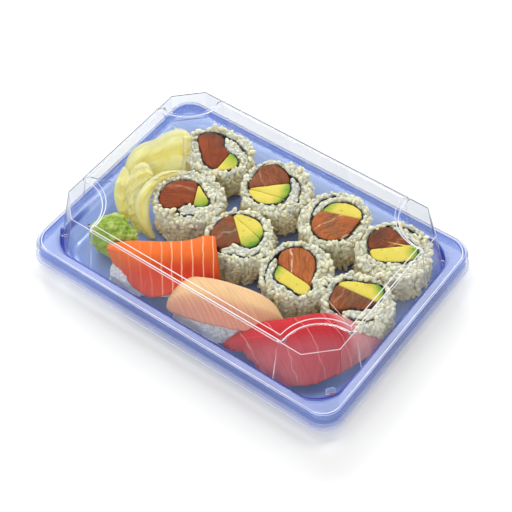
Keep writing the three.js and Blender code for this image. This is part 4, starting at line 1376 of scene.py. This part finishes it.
# %% Sizes of the sheets
RIDGE = (95, 65.8)  # half length and width of the rim's ridge
RIDGE_Z = 16
TRAY_WALL = 0.7
LID_WALL = 0.45
PANEL = (82.5, 53.3)  # half sizes of the lid's flat top
PANEL_Z = RIDGE_Z + 26.9
FOOT_Z = RIDGE_Z + 25.0  # foot of the slope round the panel
SLOPE = 1.9  # width of that slope
PAD_RADIUS = 24  # radius by which a corner pad bites into the panel
PAD_CENTRE = (82.1, 53.5)
PAD_RISE = 0.5
PAD_STEP = 0.35  # how far a corner block stands in from the walls

# Rows: offset from the ridge, height, cut corner, its roundness from 0 to 1, crease radius.
LID_ROWS = [
    (-9.3, FOOT_Z, 13.3, 0, 0.35), (-5.2, RIDGE_Z - 0.3, 14.2, 0.1, 0.3),
    (-4.2, RIDGE_Z - 1.2, 12.5, 0.6, 0.5), (-1.5, RIDGE_Z - 1.2, 11, 1, 0.5),
    (-0.6, RIDGE_Z - 0.2, 10.5, 1, 0.35), (0.5, RIDGE_Z, 10.5, 1, 0.35),
    (1.5, RIDGE_Z - 1.2, 10.5, 1, 0.6), (2.0, RIDGE_Z - 5.0, 11, 1, 0.4),
    (2.3, RIDGE_Z - 9.6, 11.5, 1, 0.5), (3.0, RIDGE_Z - 10.4, 12, 1, 0.3),
]
TRAY_ROWS = [
    (-12, 0.7, 12, 0.7, 0.5), (-9.9, 1.6, 12.5, 0.6, 1.2), (-9.0, 3.4, 13, 0.5, 1.0),
    (-8.0, RIDGE_Z - 6.2, 12.5, 0.5, 0.5), (-6.8, RIDGE_Z - 5.6, 12, 0.5, 0.5),
    (-6.3, RIDGE_Z - 2.9, 12, 0.5, 0.4), (-5.6, RIDGE_Z - 2.3, 12, 0.5, 0.4),
    (-1.1, RIDGE_Z - 2.3, 10.5, 1, 0.5), (-0.2, RIDGE_Z - 1.35, 10.5, 1, 0.3),
    (0.3, RIDGE_Z - 1.15, 10.5, 1, 0.3), (0.65, RIDGE_Z - 1.8, 10.5, 1, 0.5),
    (1.1, RIDGE_Z - 6.0, 10.7, 1, 0.3), (1.5, RIDGE_Z - 9.2, 11, 1, 0.3),
]


# Painted white highlight on each crease of the lid: the panel's four rings, then LID_ROWS.
LID_GLINTS = [0, 1.0, 0.9, 0.1, 1.0, 0.1, 0.2, 0.35, 1.6, 0.8, 0.05, 0.15, 0.1, 1.9]
# How deep the tray's blue shows by offset from the ridge, partly as painted shade.
TRAY_BLUE = [(-8.2, 0), (-7.2, 0.9), (-5.7, 1), (-5.3, 0.12), (-1.4, 0.08), (-0.4, 0.1),
             (0.5, 0.11), (1.0, 0.14), (1.1, 0.28), (1.15, 0.03), (1.5, 0.03)]


# %% Rings and creases
def quarter_shares():
    """Where the columns of a quarter lie: 0 to 1 up the side to the pad, 1 to 2 to the
    corner, 2 to 3 round it, 3 to 4 to the pad's other end and 4 to 5 to the middle."""
    side = np.concatenate([np.linspace(0, 0.96, 9), [0.985]])
    near = np.concatenate([[0, 0.03, 0.06], np.linspace(0.14, 0.9, 8), [0.95, 0.98]])
    corner = np.concatenate([[0, 0.02, 0.05], np.linspace(0.12, 0.88, 9), [0.95, 0.98, 1]])
    return np.concatenate([side, 1 + near, 2 + corner, 4 - near[::-1], 5 - side[::-1]])


SHARES = quarter_shares()
ON_PAD = smooth_step(SHARES, 1.0, 1.06) * (1 - smooth_step(SHARES, 3.94, 4.0))
PAD_REACH = (PAD_CENTRE[0] - PAD_RADIUS, PAD_CENTRE[1] - PAD_RADIUS)


def whole_ring(x, y, z):
    """A ring of the four quarters, mirrored from one, at a height for each column."""
    quarter = np.column_stack([x, y, np.broadcast_to(z, x.shape)])
    turned = quarter[::-1]
    parts = [quarter, turned * [-1, 1, 1], quarter * [-1, -1, 1], turned * [1, -1, 1]]
    return np.vstack([part[:-1] for part in parts])


def rim_ring(offset, z, cut, roundness, inset=0.0):
    """A rectangle with cut corners at an offset from the ridge. inset moves its corner
    block inwards."""
    half_x, half_y = RIDGE[0] + offset, RIDGE[1] + offset
    reach_x, reach_y = PAD_REACH
    s = SHARES
    t = np.clip(s - 2, 0, 1)
    bent = t * np.pi / 2
    x = half_x - cut * (t * (1 - roundness) + (1 - np.cos(bent)) * roundness)
    y = half_y - cut * ((1 - t) * (1 - roundness) + (1 - np.sin(bent)) * roundness)
    y = np.where(s < 2, reach_y + (half_y - cut - reach_y) * (s - 1), y)
    x = np.where(s > 3, reach_x + (half_x - cut - reach_x) * (4 - s), x)
    y = np.where(s < 1, reach_y * s, y)
    x = np.where(s > 4, reach_x * (5 - s), x)
    return whole_ring(x - inset * ON_PAD, y - inset * ON_PAD, z)


def panel_ring(outwards, z):
    """The panel's outline moved outwards: straight edges, and an arc round each corner
    pad's centre whose ends stay on the edges."""
    half_x, half_y = PANEL[0] + outwards, PANEL[1] + outwards
    radius = PAD_RADIUS - outwards
    start = -np.pi / 2 + math.asin((half_x - PAD_CENTRE[0]) / radius)
    end = -np.pi - math.asin((half_y - PAD_CENTRE[1]) / radius)
    s = SHARES
    angle = start + (end - start) * np.clip((s - 1) / 3, 0, 1)
    x = PAD_CENTRE[0] + radius * np.cos(angle)
    y = PAD_CENTRE[1] + radius * np.sin(angle)
    y = np.where(s < 1, y[s == 1] * s, y)
    x = np.where(s > 4, x[s == 4] * (5 - s), x)
    x = np.where(s < 1, half_x, x)
    y = np.where(s > 4, half_y, y)
    return whole_ring(x, y, z)


def creased(rings, radii, beads):
    """Rings with each inner one turned into a soft crease: a curve between points on the
    two sides, and one more ring on each side that keeps the flat parts flat. Each ring also
    gets a number, 0 on the flat and its share of painted highlight on the crease."""
    made, marks = [rings[0]], [0.0]
    for before, here, after, radius, bead in zip(rings, rings[1:], rings[2:], radii[1:], beads[1:]):
        start, end = before - here, after - here
        span_a = np.maximum(np.linalg.norm(start, axis=1), 1e-6)[:, None]
        span_b = np.maximum(np.linalg.norm(end, axis=1), 1e-6)[:, None]
        a, b = np.minimum(radius / span_a, 0.36), np.minimum(radius / span_b, 0.36)
        made.append(here + start * a * 1.3)
        for t in (0, 0.25, 0.5, 0.75, 1):
            made.append(here + start * a * (1 - t) ** 2 + end * b * t**2)
        made.append(here + end * b * 1.3)
        marks += [0, 0, 0.6 * bead, bead, 0.6 * bead, 0, 0]
    return np.array(made + [rings[-1]]), np.array(marks + [0.5 * beads[-1]])


def lid_rings():
    """The panel, its slope, the ledge or corner pad beside it, the wall and the rim. Each
    point also gets the share of painted white highlight that it shows: most on creases, some
    on upright edges, a painted pale-blue reflection on the skirt and flange, a trace of
    painted haze on the wall, and less of all of it on the far left."""
    pad_z = FOOT_Z + PAD_RISE * ON_PAD
    rings = [panel_ring(0, PANEL_Z) * [0.6, 0.6, 1], panel_ring(0, PANEL_Z)]
    rings += [panel_ring(SLOPE, FOOT_Z), panel_ring(SLOPE + 0.9, pad_z)]
    radii = [0, 0.35, 0.35, 0.2]
    for row, inset in zip(LID_ROWS, (1, 0.4) + (0,) * 8):
        height = row[1] + (PAD_RISE * ON_PAD if inset == 1 else 0)
        rings.append(rim_ring(row[0], height, *row[2:4], PAD_STEP * inset))
        radii.append(row[4])
    rings, marks = creased(rings, radii, LID_GLINTS)
    upright = np.abs(SHARES[:, None] - [1.03, 2, 3, 3.97])
    edges = np.maximum(0, 1 - upright / 0.025) * [0.5, 0.06, 0.06, 0.5]
    edges = whole_ring(edges.max(1), edges.max(1), 0)[:, 0]
    wall = (rings[:, :, 2].min(1) > RIDGE_Z - 0.6) & (rings[:, :, 2].max(1) < FOOT_Z - 0.2)
    plan = rings[0, :, :2]
    # Painted light: highlights and haze are painted stronger on the near and right sides.
    lit = 0.3 + 0.7 * np.maximum(smooth_step(-plan[:, 1], 12, 30), smooth_step(plan[:, 0], 30, 48))
    marks = np.maximum(marks[:, None] * lit, np.abs(edges)[None] * wall[:, None] * lit)
    heights, offset = rings[:, :, 2].max(1)[:, None], rings[:, :1, 0] - RIDGE[0]
    # Painted reflection: the skirt and the flange are painted pale blue, as the blue rim shows
    # through.
    pale = 0.16 * (heights < RIDGE_Z - 5.05)
    pale = pale + 0.3 * lit**2 * (np.abs(offset + 2.6) < 1.5) * (heights < RIDGE_Z)
    # Painted haze: a faint white veil of reflection on the wall, most on the right.
    haze = 0.03 + 0.1 * smooth_step(plan[:, 0], 60, 80) + 0.03 * (plan[:, 0] - plan[:, 1] > 100)
    return rings, np.maximum(np.maximum(marks, pale), haze * lit**2 * wall[:, None])


def tray_rings():
    """The floor, the foot and wall of the bowl, its ledge, and the ridge of the rim, each
    with the share of deep blue that it shows: partly the blue of creases seen through more
    plastic, partly painted shade, which on the bowl's wall is painted on the near sides only
    and is none on the bowl's far side."""
    rings = [rim_ring(*row[:4]) for row in TRAY_ROWS]
    rings.insert(0, rings[0] * [0.6, 0.6, 1])
    radii = [0] + [row[4] for row in TRAY_ROWS]
    rings, _ = creased(rings, radii, [0] * len(radii))
    offset = rings[:, 0, 0] - RIDGE[0]
    side = np.interp(offset, *zip(*TRAY_BLUE))
    plan = rings[0, :, :2]
    # Painted shade: on the bowl's wall the navy is painted on the near and right sides only.
    right = smooth_step(plan[:, 0], 30, 48) * (1 - smooth_step(plan[:, 1], 30, 46))
    near = np.maximum(smooth_step(-plan[:, 1], 12, 30), right)
    return rings, side[:, None] * np.where(offset[:, None] < -4, near, 1)


# %% Finishes of the plastic
def lid_finish():
    """Clear sheet that bends what is seen through its creases. Light for the food passes
    straight through it, because a lamp's ray seldom finds its way round a bend, and so does
    what is seen at a steep slant, which would turn black. The creases are drawn thin and
    rounded, and carry a painted white highlight: a white diffuse share that shows from every
    side, and below the ridge a painted pale-blue reflection of the tray's rim."""
    material, add, where = new_material("clear thermoformed sheet")
    flow = add("TexNoise", {"Vector": where, "Scale": 0.03, "Detail": 2.0})
    bump = add("Bump", {"Height": flow, "Strength": 0.25, "Distance": 0.002})
    glass = add("BsdfGlass", {"Color": "#f7f8fa", "Roughness": 0.0, "IOR": 1.15, "Normal": bump})
    straight = add("BsdfTransparent", ("#fbfcfd",))
    rays = add("LightPath").node.outputs
    lamp = add("Math", (rays["Is Shadow Ray"], rays["Is Diffuse Ray"]), operation="MAXIMUM")
    slant = add("LayerWeight", {"Blend": 0.5}, out="Facing")
    edge_on = add("MapRange", (slant, 0.75, 0.95, 0.0, 0.85))
    plain = add("Math", (lamp, edge_on), operation="MAXIMUM")
    clear = add("MixShader", (plain, glass, straight))
    # The tone is the share of painted white highlight: a white diffuse in place of lamp glints.
    bead = add("Attribute", out="Fac", attribute_name="tone")
    height = add("SeparateXYZ", (where,), out="Z")
    above = add("MapRange", (height, RIDGE_Z, RIDGE_Z + 3.0, 0.0, 1.0))
    bright = add("Math", (bead, above), operation="MAXIMUM")
    # Below the ridge the painted highlight is pale blue, a painted reflection of the blue rim.
    white = add("Mix", (bright, "#bcc6fd", "#fdfdff"), data_type="RGBA")
    glint = add("BsdfDiffuse", (white,))
    full = add("MixShader", (bead, clear, glint))
    add("OutputMaterial", (full,))
    return material


def tray_finish():
    """Blue tinted sheet. Most light passes straight through and takes the tint, a share is
    mirrored that grows at a slant, and a little is scattered in the blue. Its creases are
    deep blue, partly because they are seen through more plastic and partly as painted
    shade, and the upper part of the bowl's near walls is painted navy as shade."""
    material, add, where = new_material("blue tinted thermoformed sheet")
    flow = add("TexNoise", {"Vector": where, "Scale": 0.02, "Detail": 2.0})
    bump = add("Bump", {"Height": flow, "Strength": 0.3, "Distance": 0.002})
    slant = add("LayerWeight", {"Blend": 0.5, "Normal": bump}, out="Facing")
    steep = add("MapRange", (slant, 0.35, 0.95, 0.0, 1.0))
    height = add("SeparateXYZ", (where,), out="Z")
    base = add("MapRange", (height, 1.0, 4.0, 1.0, 0.0))
    face_on = add("Mix", (base, "#e5eeff", "#cddcff"), data_type="RGBA")
    tint = add("Mix", (steep, face_on, "#86a3ff"), data_type="RGBA")
    rays = add("LightPath").node.outputs
    lamp = add("Math", (rays["Is Shadow Ray"], rays["Is Diffuse Ray"]), operation="MAXIMUM")
    bead = add("Attribute", out="Fac", attribute_name="tone")
    folded = add("MapRange", (bead, 0.0, 0.2, 0.0, 1.0))
    cast = add("Mix", (folded, "#fcfdfc", "#c8cede"), data_type="RGBA")
    passed = add("Mix", (lamp, tint, cast), data_type="RGBA")
    through = add("BsdfTransparent", (passed,))
    # Painted shade: the tone darkens the scattered blue to navy.
    blue = add("Mix", (bead, "#a6c0ff", "#1220c0"), data_type="RGBA")
    front = add("BsdfDiffuse", {"Color": blue, "Normal": bump})
    behind = add("BsdfTranslucent", {"Color": blue, "Normal": bump})
    glow = add("MapRange", (base, 0.0, 1.0, 0.6, 0.15))
    cloud = add("MixShader", (glow, front, behind))
    more = add("MapRange", (slant, 0.3, 1.0, 0.25, 0.38))
    held = add("MapRange", (bead, 0.0, 0.4, 0.0, 0.93))
    dense = add("Math", (more, held), operation="MAXIMUM")
    unlit = add("Math", (1.0, lamp), operation="SUBTRACT")
    seen = add("Math", (dense, unlit), operation="MULTIPLY")
    body = add("MixShader", (seen, through, cloud))
    gloss = add("BsdfGlossy", {"Color": "#ffffff", "Roughness": 0.2, "Normal": bump})
    curve = add("Math", (slant, 5.0), operation="POWER")
    mirror = add("MapRange", {"Value": curve, "To Min": 0.04, "To Max": 1.0})
    full = add("MixShader", (mirror, body, gloss))
    add("OutputMaterial", (full,))
    return material


def make_sheet(name, made, material, slot, node, thickness):
    """The surface as a closed sheet: a Solidify modifier adds the face below it."""
    rows, marks = made
    points, faces = shell(rows, end=False)
    tones = np.append(np.broadcast_to(marks.reshape(len(rows), -1), rows.shape[:2]).ravel(), 0)
    piece = make_piece(name, points, flipped(faces), material, slot, node, values=tones,
                       closed=False)
    wall = piece.modifiers.new("wall", "SOLIDIFY")
    wall.thickness = thickness * MM
    wall.offset = -1
    return piece


LID_SHEET = lid_finish()
lid = make_sheet("lid_sheet", lid_rings(), LID_SHEET, "lid_plastic", "lid", LID_WALL)
tray = make_sheet("tray_sheet", tray_rings(), tray_finish(), "tray_plastic", "tray", TRAY_WALL)
print("points of lid and tray:", len(lid.data.vertices), len(tray.data.vertices))


# %% Locking tabs
TAB_PLACE = (86.0, 50.7)  # mm from the middle of the tray
TAB_HALF = (2.6, 1.7)  # half length and half width
TAB_LEVELS = [(-1.1, 1), (0.5, 0.96), (0.85, 0.9), (1.0, 0.78)]  # mm over the ridge, share of size


def make_tabs():
    """A small moulded box on the lid's ledge at three of its cut corners: a rounded square
    whose rings narrow towards its top."""
    parts = []
    angle = angle_ring(24)
    square = (np.abs(np.cos(angle)) ** 5 + np.abs(np.sin(angle)) ** 5) ** (-0.2)
    for sx, sy in ((-1, -1), (1, -1), (1, 1)):
        rows = []
        for z, share in TAB_LEVELS:
            along = TAB_HALF[0] * share * square * np.cos(angle)
            out = TAB_HALF[1] * share * square * np.sin(angle)
            x = TAB_PLACE[0] + (out - along) * math.sqrt(0.5)
            y = TAB_PLACE[1] + (out + along) * math.sqrt(0.5)
            rows.append(at_height(np.column_stack([x * sx, y * sy]), RIDGE_Z + z))
        points, faces = shell(rows)
        # Painted highlight: only the tab at the front corner carries a white glint.
        tone = np.append(np.repeat([0.0, 0.05, 0.5, 0.12], len(angle)), [0.0, 0.08]) * (sx > sy)
        parts.append((points, faces if sx * sy > 0 else flipped(faces), tone))
    points, faces, tones = join_parts(parts)
    return make_piece("lid_tabs", points, faces, LID_SHEET, "lid_plastic", "lid", values=tones)


print("tab points:", len(make_tabs().data.vertices))

# %% Sizes, then finish
low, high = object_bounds()
print("CAD box", [round(v, 4) for v in (*cad_low, *cad_high)])
print("visual box", [round(v, 4) for v in (*low, *high)])
